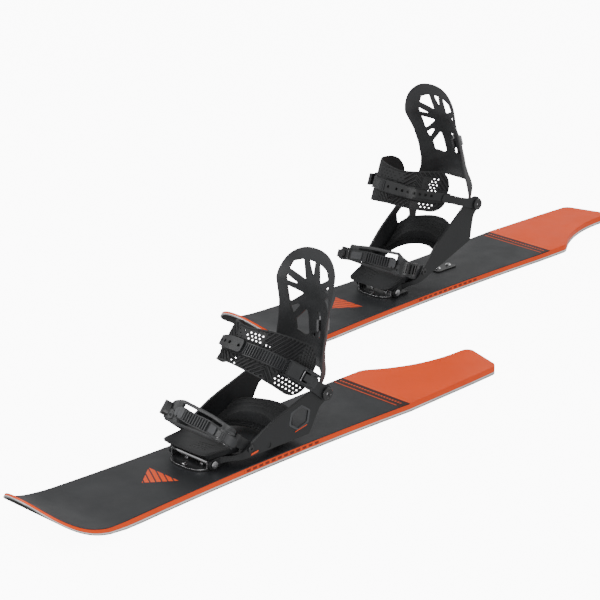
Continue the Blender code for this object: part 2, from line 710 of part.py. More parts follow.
# ---------------------------------------------------------------- materials and assembly
BLACK_PLASTIC = make_material("black_plastic", BLACK, 0.45)
DARK_PLASTIC = make_material("dark_rubber", BLACK, 0.65)
GREY_PLASTIC = make_material("grey_top_sheet", GREY, 0.40)
WHITE_PLASTIC = make_material("white_glass", WHITE, 0.40)
ORANGE_PLASTIC = make_material("orange_sidewall", ORANGE, 0.35)
WOOD = make_material("poplar_core", (0.55, 0.40, 0.24), 0.70)
METAL = make_material("steel", STEEL, 0.30, 1.0)


def build_side(side):
    build_ski(side)
    build_bracket(side)
    build_heel_rest(side)
    build_chassis(side)
    build_ramp(side)
    build_heel_pad(side)
    build_bolts(side)
    ankle = side.axis_at("ankle_axis", (0.0, *ANKLE))
    toe = side.axis_at("toe_strap_axis", (0.0, *TOE_ANCHOR))
    build_highback(side, ankle)
    build_lean_block(side, ankle)
    build_ankle_strap(side, ankle)
    build_lever(side, "ankle_lever", ANKLE_ARCH, (50, 74), ANKLE_LEVER_LAYER, (-0.0075, 0.0145))
    build_toe_strap(side, toe)
    build_lever(side, "toe_lever", TOE_ARCH, (38, 62), TOE_LEVER_LAYER, toe_ladder_edges)


tail_end = max(y for _, y in ski_outline())
middle_y = -(NOSE_END + tail_end) / 2
build_side(Side("left", 1, middle_y - STAGGER / 2, 0.0, 0.0))
build_side(Side("right", -1, middle_y + STAGGER / 2, RIGHT_PITCH, RIGHT_SETBACK))
bpy.context.view_layer.update()
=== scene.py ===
"""Looks of a pair of short touring skis with strap bindings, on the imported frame.

Ski axes: x outward from the centreline, y back from the tail band, z up.
Binding axes: x outward, y back and z up from the toe pivot.
"""
import json
from math import cos, hypot, pi, radians, sin, sqrt

import bmesh
import bpy
import numpy
from mathutils import Matrix, Vector


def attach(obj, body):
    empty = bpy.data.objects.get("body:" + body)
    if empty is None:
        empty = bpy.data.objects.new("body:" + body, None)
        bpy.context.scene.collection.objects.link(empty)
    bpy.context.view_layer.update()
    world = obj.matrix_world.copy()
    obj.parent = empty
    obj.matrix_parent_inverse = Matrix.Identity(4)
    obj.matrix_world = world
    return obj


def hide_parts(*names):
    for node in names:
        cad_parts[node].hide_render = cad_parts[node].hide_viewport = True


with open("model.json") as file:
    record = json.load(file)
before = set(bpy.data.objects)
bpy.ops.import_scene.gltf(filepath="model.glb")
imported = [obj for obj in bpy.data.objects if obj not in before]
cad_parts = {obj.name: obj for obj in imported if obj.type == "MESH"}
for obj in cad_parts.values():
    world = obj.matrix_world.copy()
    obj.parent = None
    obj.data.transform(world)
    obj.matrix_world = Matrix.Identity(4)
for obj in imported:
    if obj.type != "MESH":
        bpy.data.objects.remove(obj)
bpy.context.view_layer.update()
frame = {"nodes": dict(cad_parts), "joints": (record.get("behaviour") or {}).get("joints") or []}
NODES = frame["nodes"]

# ---------------------------------------------------------------- sizes shared with the frame
NOSE_END = -0.703
NOSE_Y = -0.600
NOSE_POWER = 2.3
WAIST_HALF = 0.0676
WAIST_Y = -0.245
SIDECUT = 0.1
TAIL_TAPER = 0.033
CUT_START_Y = 0.045
CUT_END = (-0.017, 0.212)
CUT_POWER = 2.3
UPTURN_Y = -0.565
UPTURN_RISE = 0.055
UPTURN_POWER = 2.8
NOSE_THINNING = 0.62
SKI_TOP = 0.0145
EDGE = (0.0, 0.0023)
GLASS = (0.0024, 0.0049)
BODY = (0.0050, 0.0128)
SKIN = (0.0129, 0.0145)

PIVOT_Y = -0.375
PIVOT_Z = 0.024
PIN_BORE = 0.0043
ANKLE_BORE = 0.0033
TOE_BORE = 0.0025
EAR_X = (0.0362, 0.0391)
EAR_RADIUS = 0.0086
FLOOR = (0.0031, 0.0065)
FLOOR_HALF = 0.0635
FLOOR_REAR = 0.169
HOLE_Y = 0.081
HOLE_RADII = (0.046, 0.043)
WINDOW = (0.149, 0.034)
HEEL_PAD_HALF = 0.0618
ANKLE = (0.2004, 0.0578)
TOE_ANCHOR = (0.0500, 0.0165)
BOSS_RADIUS = 0.0125
WALL_X = (0.0625, 0.0665)
BACK_TOP = 0.2580
BACK_THICK = 0.003
BACK_ROUND_Z = 0.205
WINDOW_SHIFT = 0.004
# z, centre x, half-width, y of the side edges, depth of the middle, power
BACK_SECTIONS = (
    (0.0640, 0.0, 0.0605, 0.1904, 0.0240, 8.0), (0.0765, 0.0, 0.0600, 0.1970, 0.0340, 5.0),
    (0.0900, 0.0010, 0.0560, 0.2030, 0.0390, 2.6), (0.1050, 0.0018, 0.0505, 0.2092, 0.0398, 2.0),
    (0.1200, 0.0026, 0.0485, 0.2129, 0.0396, 2.0), (0.1450, 0.0037, 0.0490, 0.2168, 0.0367, 2.0),
    (0.1700, 0.0053, 0.0510, 0.2183, 0.0312, 2.0), (0.2050, 0.0078, 0.0575, 0.2169, 0.0236, 2.0),
    (0.2350, 0.0095, 0.0575, 0.2244, 0.0146, 2.0), (0.2595, 0.0100, 0.0575, 0.2285, 0.0105, 2.0),
)


# ---------------------------------------------------------------- sides
class Side:
    """One ski and its binding, as matrices from outward axes to the row frame."""

    def __init__(self, name, sign, pitch, setback):
        joint = next(j for j in frame["joints"] if j["name"] == f"{name}_heel_lift")
        pivot = Vector(joint["pos_m"])
        mirror = Matrix.Diagonal((sign, 1, 1, 1))
        self.name = name
        self.sign = sign
        self.origin = Vector((pivot.x, pivot.y - PIVOT_Y - setback, 0.0))
        self.ski = Matrix.Translation(self.origin) @ mirror
        self.mount = Matrix.Translation(pivot) @ mirror
        self.binding = Matrix.Translation(pivot) @ Matrix.Rotation(pitch, 4, "X") @ mirror


SIDES = (Side("left", 1, 0.0, 0.0), Side("right", -1, radians(20), 0.012))


# ---------------------------------------------------------------- materials
class Shader:
    """A Principled material with a few node helpers."""

    def __init__(self, name, colour, roughness, metallic=0.0, specular=0.5, coat=0.0):
        self.material = bpy.data.materials.new(name)
        self.material.use_nodes = True
        self.tree = self.material.node_tree
        self.out = self.tree.nodes["Principled BSDF"]
        self.out.inputs["Base Color"].default_value = (*colour, 1.0)
        self.out.inputs["Roughness"].default_value = roughness
        self.out.inputs["Metallic"].default_value = metallic
        self.out.inputs["Specular IOR Level"].default_value = specular
        self.out.inputs["Coat Weight"].default_value = coat
        self.out.inputs["Coat Roughness"].default_value = 0.25
        self.place = self.tree.nodes.new("ShaderNodeTexCoord").outputs["Object"]

    def put(self, socket, value):
        if isinstance(value, bpy.types.NodeSocket):
            self.tree.links.new(value, socket)
        else:
            socket.default_value = value

    def math(self, operation, *values, clamp=False):
        node = self.tree.nodes.new("ShaderNodeMath")
        node.operation = operation
        node.use_clamp = clamp
        for socket, value in zip(node.inputs, values):
            self.put(socket, value)
        return node.outputs[0]

    def noise(self, scale, detail=3.0, stretch=(1, 1, 1)):
        mapping = self.tree.nodes.new("ShaderNodeMapping")
        mapping.inputs["Scale"].default_value = stretch
        self.put(mapping.inputs["Vector"], self.place)
        node = self.tree.nodes.new("ShaderNodeTexNoise")
        node.inputs["Scale"].default_value = scale
        node.inputs["Detail"].default_value = detail
        self.put(node.inputs["Vector"], mapping.outputs[0])
        return node.outputs["Fac"]

    def spread(self, value, low, high):
        """Maps a noise value to a range."""
        node = self.tree.nodes.new("ShaderNodeMapRange")
        for key, number in zip(("From Min", "From Max", "To Min", "To Max"), (0.3, 0.7, low, high)):
            node.inputs[key].default_value = number
        self.put(node.inputs["Value"], value)
        return node.outputs[0]

    def mix(self, factor, first, second):
        node = self.tree.nodes.new("ShaderNodeMix")
        node.data_type = "RGBA"
        self.put(node.inputs["Factor"], factor)
        self.put(node.inputs["A"], (*first, 1.0) if isinstance(first, tuple) else first)
        self.put(node.inputs["B"], (*second, 1.0) if isinstance(second, tuple) else second)
        return node.outputs["Result"]

    def colour(self, value):
        self.put(self.out.inputs["Base Color"], value)

    def roughness(self, value):
        self.put(self.out.inputs["Roughness"], value)

    def bump(self, height, strength, distance):
        node = self.tree.nodes.new("ShaderNodeBump")
        node.inputs["Strength"].default_value = strength
        node.inputs["Distance"].default_value = distance
        self.put(node.inputs["Height"], height)
        self.put(self.out.inputs["Normal"], node.outputs[0])

    def within(self, value, low, high, soft=0.0002):
        """1 between two limits, with a short ramp at each."""
        up = self.math("MULTIPLY_ADD", value, 1 / soft, -low / soft + 0.5, clamp=True)
        down = self.math("MULTIPLY_ADD", value, -1 / soft, high / soft + 0.5, clamp=True)
        return self.math("MULTIPLY", up, down)


def scaled(colour, factor):
    return tuple(c * factor for c in colour)


def moulded(name, colour, roughness, grain=900.0, depth=0.00012, coat=0.0, specular=0.5):
    """Moulded plastic or rubber: fine grain, mottled gloss and slightly uneven colour."""
    shader = Shader(name, colour, roughness, specular=specular, coat=coat)
    broad = shader.noise(35.0, 4.0)
    fine = shader.noise(grain, 2.0)
    shader.colour(shader.mix(shader.spread(broad, 0.0, 1.0), scaled(colour, 0.82), scaled(colour, 1.22)))
    shader.roughness(shader.spread(broad, roughness - 0.05, roughness + 0.07))
    shader.bump(fine, 0.55, depth)
    return shader.material


def brushed(name, colour, roughness, stretch, coat=0.0):
    """Metal with fine lines along one direction."""
    shader = Shader(name, colour, roughness, metallic=1.0, coat=coat)
    lines = shader.noise(300.0, 3.0, stretch)
    shader.roughness(shader.spread(lines, roughness - 0.08, roughness + 0.12))
    shader.colour(shader.mix(shader.spread(lines, 0.0, 1.0), scaled(colour, 0.82), scaled(colour, 1.12)))
    shader.bump(lines, 0.3, 0.00008)
    return shader.material


def wood(name):
    shader = Shader(name, (0.55, 0.40, 0.24), 0.65)
    rings = shader.noise(60.0, 5.0, (6, 0.4, 6))
    shader.colour(shader.mix(shader.spread(rings, 0.0, 1.0), (0.42, 0.28, 0.15), (0.66, 0.50, 0.31)))
    shader.bump(rings, 0.4, 0.0002)
    return shader.material


def top_film(side):
    """Matt charcoal film with an orange tail, a dark band of dashes and a plain striped mark."""
    grey, orange, dark = (0.026, 0.0275, 0.030), (0.97, 0.080, 0.002), (0.040, 0.014, 0.010)
    shader = Shader(f"{side.name}_top_film", grey, 0.42, specular=0.35)
    split = shader.tree.nodes.new("ShaderNodeSeparateXYZ")
    shader.put(split.inputs[0], shader.place)
    across = shader.math("MULTIPLY_ADD", split.outputs[0], side.sign, -side.sign * side.origin.x)
    along = shader.math("SUBTRACT", split.outputs[1], side.origin.y)
    mottle = shader.noise(14.0, 5.0)
    shade = shader.mix(shader.spread(mottle, 0.0, 1.0), scaled(grey, 0.86), scaled(grey, 1.16))
    warm = shader.mix(shader.spread(mottle, 0.0, 1.0), scaled(orange, 0.95), scaled(orange, 1.04))
    film = shader.mix(shader.math("GREATER_THAN", along, 0.0), shade, warm)
    band = shader.within(along, -0.0230, 0.0)
    film = shader.mix(band, film, dark)
    fine = shader.math("MODULO", shader.math("ADD", across, 0.2), 0.0058)
    row = shader.within(along, -0.0110, -0.0075)
    dashes = shader.math("MULTIPLY", shader.within(fine, 0.0007, 0.0043), row)
    line = shader.within(along, -0.0205, -0.0185)
    inside = shader.within(across, -0.068, 0.064)
    dashes = shader.math("MULTIPLY", shader.math("MAXIMUM", dashes, line), inside)
    film = shader.mix(shader.math("MULTIPLY", dashes, 0.75), film, orange)
    # A plain wedge of slanted bars ahead of the binding
    lean = shader.math("MULTIPLY_ADD", across, 0.55, along)
    bars = shader.within(shader.math("MODULO", shader.math("ADD", lean, 2.0), 0.0095), 0.0012, 0.0083)
    rise = shader.math("SUBTRACT", along, -0.4780)
    spread_x = shader.math("MULTIPLY_ADD", rise, 0.78, -0.0030)
    reach = shader.math("SUBTRACT", spread_x, shader.math("ABSOLUTE", across))
    wedge = shader.math("MULTIPLY", shader.within(reach, 0.0, 1.0), shader.within(along, -0.480, -0.4330))
    film = shader.mix(shader.math("MULTIPLY", wedge, bars), film, orange)
    shader.colour(film)
    shader.roughness(shader.spread(shader.noise(22.0, 4.0), 0.36, 0.50))
    shader.bump(shader.noise(1400.0, 2.0), 0.35, 0.00005)
    return shader.material


def side_band(side):
    """Satin orange side wall with a row of plain dark dashes beside the binding."""
    orange = (0.97, 0.080, 0.002)
    shader = Shader(f"{side.name}_side_band", orange, 0.42, specular=0.3)
    split = shader.tree.nodes.new("ShaderNodeSeparateXYZ")
    shader.put(split.inputs[0], shader.place)
    along = shader.math("SUBTRACT", split.outputs[1], side.origin.y)
    height = split.outputs[2]
    step = shader.math("MODULO", shader.math("ADD", along, 2.0), 0.0125)
    dash = shader.within(step, 0.0025, 0.0105)
    dash = shader.math("MULTIPLY", dash, shader.within(along, -0.340, -0.185))
    dash = shader.math("MULTIPLY", dash, shader.within(height, 0.0070, 0.0108))
    mottle = shader.spread(shader.noise(40.0, 3.0), 0.0, 1.0)
    body = shader.mix(mottle, scaled(orange, 0.94), scaled(orange, 1.04))
    shader.colour(shader.mix(shader.math("MULTIPLY", dash, 0.85), body, (0.10, 0.022, 0.014)))
    shader.roughness(shader.spread(shader.noise(60.0, 3.0), 0.32, 0.46))
    shader.bump(shader.noise(1200.0, 2.0, (1, 0.3, 1)), 0.3, 0.00005)
    return shader.material


BLACK = (0.0155, 0.0162, 0.0175)
FINISH = {
    "chassis": moulded("chassis_plastic", BLACK, 0.46, 1300.0, 0.00010),
    "back": moulded("highback_plastic", (0.0330, 0.0340, 0.0360), 0.50, 1100.0, 0.00012),
    "rubber": moulded("strap_rubber", (0.0125, 0.0130, 0.0140), 0.58, 1000.0, 0.00010),
    "foam": moulded("heel_foam", (0.0185, 0.0192, 0.0205), 0.72, 700.0, 0.00020),
    "strap": moulded("strap_plastic", (0.0180, 0.0188, 0.0200), 0.44, 1200.0, 0.00008),
    "ladder": moulded("ladder_plastic", (0.0240, 0.0250, 0.0270), 0.42, 1200.0, 0.00006),
    "ratchet": moulded("ratchet_plastic", (0.0270, 0.0282, 0.0300), 0.40, 1400.0, 0.00006),
    "tip": moulded("ladder_tip", (0.0620, 0.0640, 0.0680), 0.45, 1200.0, 0.00006),
    "rail": moulded("rail_plastic", (0.0340, 0.0350, 0.0370), 0.45, 1200.0, 0.00007),
    "coated": moulded("coated_steel", (0.0130, 0.0135, 0.0145), 0.34, 1600.0, 0.00005, coat=0.3),
    "steel": brushed("bare_steel", (0.62, 0.62, 0.63), 0.26, (1, 0.08, 1)),
    "edge": brushed("edge_steel", (0.42, 0.42, 0.43), 0.34, (1, 0.05, 1)),
    "pin": brushed("pin_steel", (0.70, 0.70, 0.71), 0.20, (0.08, 1, 1)),
    "alloy": brushed("adjuster_alloy", (0.40, 0.40, 0.41), 0.38, (1, 1, 0.1)),
    "base": moulded("running_base", (0.010, 0.010, 0.011), 0.70, 500.0, 0.00008, specular=0.15),
    "glass": moulded("white_laminate", (0.80, 0.80, 0.78), 0.40, 800.0, 0.00005),
    "orange": moulded("orange_print", (0.97, 0.080, 0.002), 0.42, 900.0, 0.00004),
    "wood": wood("poplar_core"),
}


# ---------------------------------------------------------------- mesh helpers
def loft(sections, closed=True):
    """A solid through rings of points, all the same length."""
    bm = bmesh.new()
    rings = [[bm.verts.new(point) for point in section] for section in sections]
    count = len(rings[0])
    for ring, after in zip(rings, rings[1:]):
        for i in range(count):
            j = (i + 1) % count
            bm.faces.new((ring[i], ring[j], after[j], after[i]))
    if closed:
        bm.faces.new(rings[0])
        bm.faces.new(list(reversed(rings[-1])))
    return bm


def prism(points, low, high, axis="z"):
    place = {
        "x": lambda a, b, c: (c, a, b),
        "y": lambda a, b, c: (a, c, b),
        "z": lambda a, b, c: (a, b, c),
    }[axis]
    return loft([[place(a, b, level) for a, b in points] for level in (low, high)])


def turned_x(profile, y, z, segments=32):
    """A round piece about an axis along x, from (x, radius) stations."""
    sections = []
    for x, radius in profile:
        ring = [2 * pi * (i + 0.5) / segments for i in range(segments)]
        sections.append([(x, y + radius * cos(a), z + radius * sin(a)) for a in ring])
    return loft(sections)


def through(radius, centre, segments=32):
    """A cutter for a bore along x through the whole binding."""
    return turned_x([(-0.08, radius), (0.08, radius)], *centre, segments)


def turned_z(profile, x, y, segments=32):
    """A round piece about an upright axis, from (z, radius) stations."""
    sections = []
    for z, radius in profile:
        ring = [2 * pi * (i + 0.5) / segments for i in range(segments)]
        sections.append([(x + radius * cos(a), y + radius * sin(a), z) for a in ring])
    return loft(sections)


def merged(*meshes):
    result = bmesh.new()
    for bm in meshes:
        mesh = bpy.data.meshes.new("merge")
        bm.to_mesh(mesh)
        bm.free()
        result.from_mesh(mesh)
        bpy.data.meshes.remove(mesh)
    return result


def rounded(points, radius, steps=5):
    """An outline with each corner rounded."""
    result = []
    count = len(points)
    for i in range(count):
        corner = Vector(points[i])
        back = Vector(points[i - 1]) - corner
        ahead = Vector(points[(i + 1) % count]) - corner
        half = back.angle(ahead) / 2
        reach = min(radius * cos(half) / sin(half), 0.45 * back.length, 0.45 * ahead.length)
        size = reach * sin(half) / cos(half)
        centre = corner + (back.normalized() + ahead.normalized()).normalized() * (size / sin(half))
        start = corner + back.normalized() * reach - centre
        sweep = start.angle_signed(corner + ahead.normalized() * reach - centre)
        for k in range(steps + 1):
            result.append(tuple(centre + Matrix.Rotation(-sweep * k / steps, 2) @ start))
    return result


def combine(first, second, operation="DIFFERENCE"):
    """An exact Boolean of two closed meshes."""
    items = []
    for bm in (first, second):
        bmesh.ops.recalc_face_normals(bm, faces=bm.faces)
        mesh = bpy.data.meshes.new("operand")
        bm.to_mesh(mesh)
        bm.free()
        item = bpy.data.objects.new("operand", mesh)
        bpy.context.scene.collection.objects.link(item)
        items.append(item)
    modifier = items[0].modifiers.new("combine", "BOOLEAN")
    modifier.operation = operation
    modifier.object = items[1]
    evaluated = items[0].evaluated_get(bpy.context.evaluated_depsgraph_get())
    result = bmesh.new()
    result.from_mesh(evaluated.to_mesh())
    evaluated.to_mesh_clear()
    for item in items:
        mesh = item.data
        bpy.data.objects.remove(item)
        bpy.data.meshes.remove(mesh)
    return result


def piece(side, name, bm, group, finish, stands_for=(), bevel=0.0, segments=2, angle=32):
    """Places a mesh, gives it its finish and ties it to its body.

    The group is "ski" or "mount" on the ski, or else the name of one of the side's moving bodies.
    """
    bm.transform({"ski": side.ski, "mount": side.mount}.get(group, side.binding))
    bmesh.ops.remove_doubles(bm, verts=bm.verts, dist=0.000008)
    bmesh.ops.recalc_face_normals(bm, faces=bm.faces)
    mesh = bpy.data.meshes.new(f"{side.name}_{name}")
    bm.to_mesh(mesh)
    bm.free()
    mesh.shade_smooth()
    mesh.set_sharp_from_angle(angle=radians(angle))
    item = bpy.data.objects.new(f"{side.name}_{name}", mesh)
    bpy.context.scene.collection.objects.link(item)
    mesh.materials.append(FINISH[finish] if isinstance(finish, str) else finish)
    if bevel:
        modifier = item.modifiers.new("edges", "BEVEL")
        modifier.width = bevel
        modifier.segments = segments
        modifier.limit_method = "ANGLE"
        modifier.angle_limit = radians(angle)
        modifier.harden_normals = True
        modifier.use_clamp_overlap = True
    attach(item, "skis" if group in ("ski", "mount") else f"{side.name}_{group}")
    if stands_for:
        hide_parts(*[f"{side.name}_{node}" for node in stands_for])
    return item


# ---------------------------------------------------------------- ski
def half_width(y):
    if y > 0:
        return WAIST_HALF + SIDECUT * WAIST_Y ** 2 - TAIL_TAPER * y
    return WAIST_HALF + SIDECUT * (y - WAIST_Y) ** 2


def cut_x(y):
    along = (y - CUT_START_Y) / (CUT_END[1] - CUT_START_Y)
    depth = half_width(CUT_START_Y) + CUT_END[0]
    return CUT_END[0] - depth * (1 - along) ** CUT_POWER


def fillet(before, corner, after, radius, steps):
    corner = Vector(corner)
    back = (Vector(before) - corner).normalized()
    ahead = (Vector(after) - corner).normalized()
    half = back.angle(ahead) / 2
    reach = radius * cos(half) / sin(half)
    centre = corner + (back + ahead).normalized() * (radius / sin(half))
    start = corner + back * reach - centre
    sweep = start.angle_signed(corner + ahead * reach - centre)
    return [tuple(centre + Matrix.Rotation(-sweep * i / steps, 2) @ start) for i in range(steps + 1)]


def ski_outline():
    """Closed plan outline, from the nose down the outer side and back up the inner one."""
    count = 28
    width = half_width(NOSE_Y)
    power = 2 / NOSE_POWER
    nose = []
    for i in range(count):
        angle = pi / 2 * i / count
        nose.append((width * sin(angle) ** power, NOSE_Y + (NOSE_END - NOSE_Y) * cos(angle) ** power))
    side_y = [NOSE_Y + 0.03 * i for i in range(20)]
    outer = [(half_width(y), y) for y in side_y + [0.0, 0.03, 0.06, 0.09, 0.12, 0.15]]
    end_outer = (0.0655, 0.2085)
    end_inner = (-0.0165, 0.2330)
    last_cut = (cut_x(0.200), 0.200)
    outline = nose + outer
    outline += fillet(outer[-1], end_outer, end_inner, 0.016, 12)
    outline += fillet(end_outer, end_inner, last_cut, 0.0115, 12)
    outline += [(cut_x(y), y) for y in [0.190 - 0.009 * i for i in range(14)]]
    corner = (-half_width(CUT_START_Y), CUT_START_Y)
    outline += fillet((cut_x(0.073), 0.073), corner, (-half_width(0.0), 0.0), 0.030, 8)
    outline += [(-half_width(y), y) for y in reversed(side_y)]
    outline += [(-x, y) for x, y in reversed(nose[1:])]
    return outline


def inset(outline, distance):
    result = []
    count = len(outline)
    for i, point in enumerate(outline):
        a, b, c = Vector(outline[i - 1]), Vector(point), Vector(outline[(i + 1) % count])
        first = (b - a).normalized().orthogonal()
        second = (c - b).normalized().orthogonal()
        bisector = (first + second).normalized()
        result.append(tuple(b + bisector * (distance / bisector.dot(first))))
    return result


def bend(bm):
    """Turns the nose up and thins it from below."""
    run = UPTURN_Y - NOSE_END
    for vert in bm.verts:
        y, height = vert.co.y, vert.co.z
        if y < UPTURN_Y:
            part = (UPTURN_Y - y) / run
            slope = UPTURN_RISE * UPTURN_POWER * part ** (UPTURN_POWER - 1) / run
            length = hypot(1.0, slope)
            height += (SKI_TOP - height) * NOSE_THINNING * part ** 0.7
            vert.co.y = y + height * slope / length
            vert.co.z = UPTURN_RISE * part ** UPTURN_POWER + height / length
    return bm


def slab(outline, layer):
    bm = prism(outline, *layer)
    y = NOSE_END + 0.004
    while y < UPTURN_Y + 0.004:
        geometry = bm.verts[:] + bm.edges[:] + bm.faces[:]
        bmesh.ops.bisect_plane(bm, geom=geometry, dist=0.00002, plane_co=(0, y, 0), plane_no=(0, 1, 0))
        y += 0.006
    return bend(bm)


def hoop(outer, inner, layer):
    low, high = layer
    bm = bmesh.new()
    rings = []
    for (xa, ya), (xb, yb) in zip(outer, inner):
        corners = ((xa, ya, low), (xa, ya, high), (xb, yb, high), (xb, yb, low))
        rings.append([bm.verts.new(corner) for corner in corners])
    for i, ring in enumerate(rings):
        after = rings[(i + 1) % len(rings)]
        for k in range(4):
            m = (k + 1) % 4
            bm.faces.new((ring[k], ring[m], after[m], after[k]))
    return bend(bm)


def build_ski(side):
    outline = ski_outline()
    piece(side, "base_look", slab(inset(outline, 0.0024), (0.0, 0.0018)), "ski",
          "base", ["running_base"])
    piece(side, "edge_look", hoop(outline, inset(outline, 0.0022), EDGE), "ski",
          "edge", ["steel_edge"], bevel=0.0003)
    piece(side, "laminate_look", slab(inset(outline, 0.0001), GLASS), "ski",
          "glass", ["glass_layer"])
    piece(side, "sidewall_look", hoop(outline, inset(outline, 0.007), BODY), "ski",
          side_band(side), ["sidewall"], bevel=0.0004)
    piece(side, "core_look", slab(inset(outline, 0.0072), BODY), "ski", "wood",
          ["core"])
    piece(side, "film_look", slab(inset(outline, 0.0003), SKIN), "ski",
          top_film(side), ["top_sheet"], bevel=0.0006)


# ---------------------------------------------------------------- hardware on the ski
BRACKET_GAP = 0.0003
BRACKET_LOW = SKI_TOP + BRACKET_GAP - PIVOT_Z
BRACKET_HIGH = BRACKET_LOW + 0.0026


def build_bracket(side):
    """A coated sheet-steel channel with bright cut edges, its screws and its pin."""
    front = [(-0.0362, -0.0085), (-0.0315, -0.0160), (-0.0240, -0.0215), (-0.0120, -0.0247),
             (0.0120, -0.0247), (0.0240, -0.0215), (0.0315, -0.0160), (0.0362, -0.0085)]
    plan = front + [(0.0392, -0.007), (0.0392, 0.032), (-0.0392, 0.032), (-0.0392, -0.007)]
    plate = prism(plan, BRACKET_LOW, BRACKET_HIGH)
    ear = [(-EAR_RADIUS, BRACKET_LOW + 0.001)]
    ear += [(EAR_RADIUS * cos(pi - pi * i / 20), EAR_RADIUS * sin(pi - pi * i / 20)) for i in range(21)]
    ear += [(EAR_RADIUS, BRACKET_LOW + 0.001)]
    ears = merged(prism(ear, EAR_X[0], EAR_X[1], "x"), prism(ear, -EAR_X[1], -EAR_X[0], "x"))
    bracket = combine(plate, ears, "UNION")
    bracket = combine(bracket, through(PIN_BORE, (0, 0)))
    piece(side, "bracket_look", bracket, "mount", "coated",
          ["toe_bracket"], bevel=0.0005)
    # The bright cut edge along the front, and one upright on each side
    path = [Vector((x, y, 0)) for x, y in front]
    sections = []
    for i, point in enumerate(path):
        before = path[max(i - 1, 0)]
        after = path[min(i + 1, len(path) - 1)]
        along = (after - before).normalized()
        out = Vector((along.y, -along.x, 0))
        corners = ((0.0, -0.0010), (0.0006, -0.0010), (0.0006, 0.0003), (0.0, 0.0003))
        sections.append([point + out * a + Vector((0, 0, BRACKET_HIGH + b)) for a, b in corners])
    lip = loft(sections)
    sides = []
    for sign in (1, -1):
        x = sign * 0.0376
        post = [(x - 0.0009, -0.0090), (x + 0.0009, -0.0090), (x + 0.0009, -0.0082), (x - 0.0009, -0.0082)]
        sides.append(prism(post, BRACKET_HIGH, 0.0052))
    piece(side, "bracket_rim", merged(lip, *sides), "mount", "steel", bevel=0.0002)
    screws = []
    for x, y in ((-0.016, 0.002), (0.016, 0.002), (-0.016, 0.022), (0.016, 0.022), (-0.001, -0.0168)):
        head = turned_z([(BRACKET_HIGH + 0.0001, 0.0040), (BRACKET_HIGH + 0.0007, 0.0040),
                         (BRACKET_HIGH + 0.0014, 0.0030)], x, y, 24)
        socket = turned_z([(BRACKET_HIGH + 0.0004, 0.0015), (BRACKET_HIGH + 0.003, 0.0015)], x, y, 6)
        screws.append(combine(head, socket))
    piece(side, "bracket_screws", merged(*screws), "mount", "pin")
    pin = [(-0.0464, 0.0050), (-0.0458, 0.0058), (-0.0446, 0.0058), (-0.0446, 0.0039), (0.0446, 0.0039),
           (0.0446, 0.0058), (0.0458, 0.0058), (0.0464, 0.0050)]
    solid = combine(turned_x(pin, 0, 0), turned_x([(0.0452, 0.0024), (0.05, 0.0024)], 0, 0, 6))
    piece(side, "pin_look", solid, "mount", "pin", ["toe_pivot_pin"])


def build_heel_rest(side):
    low = BRACKET_LOW
    plate = prism(rounded([(0.011, 0.138), (0.011, 0.186), (-0.011, 0.186), (-0.011, 0.138)], 0.004),
                  low, low + 0.0022)
    piece(side, "rest_look", plate, "mount", "coated", ["heel_rest"],
          bevel=0.0005)
    studs = []
    for y in (0.149, 0.175):
        stud = turned_z([(low + 0.0023, 0.0050), (low + 0.0036, 0.0050), (low + 0.0050, 0.0038)], 0, y)
        studs.append(combine(stud, turned_z([(low + 0.0030, 0.0018), (low + 0.007, 0.0018)], 0, y, 6)))
    piece(side, "rest_studs", merged(*studs), "mount", "pin")


# ---------------------------------------------------------------- chassis
def wall_sections():
    """Stations along the wall: y, outer x, bottom and top."""
    y_bolt, z_bolt = ANKLE
    rough = [(-0.0084, 0.0440, -0.0020, 0.0020), (-0.0070, 0.0440, -0.0048, 0.0048),
             (-0.0040, 0.0440, -0.0076, 0.0076), (0.0, 0.0440, -0.0086, 0.0086),
             (0.0064, 0.0440, -0.0062, 0.0088), (0.0120, 0.0442, -0.0024, 0.0088),
             (0.0180, 0.0490, 0.0000, 0.0089), (0.0240, 0.0560, 0.0020, 0.0094),
             (0.0300, 0.0625, 0.0028, 0.0118), (0.0360, 0.0658, 0.0030, 0.0150),
             (0.0420, WALL_X[1], 0.0030, 0.0178), (0.0590, WALL_X[1], 0.0030, 0.0264),
             (0.0750, WALL_X[1], 0.0030, 0.0346), (0.0910, WALL_X[1], 0.0030, 0.0422),
             (0.1120, WALL_X[1], 0.0030, 0.0497), (0.1330, WALL_X[1], 0.0030, 0.0560),
             (0.1500, WALL_X[1], 0.0030, 0.0614), (0.1680, WALL_X[1], 0.0030, 0.0668),
             (0.1730, WALL_X[1], 0.0110, 0.0682), (0.1790, WALL_X[1], 0.0220, 0.0695),
             (0.1900, WALL_X[1], 0.0395, 0.0708)]
    for part in (0.0, 0.3, 0.55, 0.75, 0.88, 0.96, 0.995):
        rise = BOSS_RADIUS * sqrt(1 - part ** 2)
        rough.append((y_bolt + part * BOSS_RADIUS, WALL_X[1], z_bolt - rise, z_bolt + rise))
    return rough


def wall():
    thick = WALL_X[1] - WALL_X[0]
    sections = []
    for y, x, low, high in wall_sections():
        lip = min(0.0025, 0.25 * (high - low))
        face = x - 0.0004
        ring = [(x - thick, y, low), (face, y, low), (face, y, high - lip), (x, y, high - lip * 0.8),
                (x, y, high), (x - thick, y, high)]
        sections.append(ring)
    return loft(sections)


def window(length, height, near, far):
    """A prism through the wall with the window's rounded six-sided outline."""
    ring = [2 * pi * i / 6 + 0.35 for i in range(6)]
    outline = [(WINDOW[0] + length * cos(a), WINDOW[1] + height * sin(a)) for a in ring]
    return prism(rounded(outline, 0.003), near, far, "x")


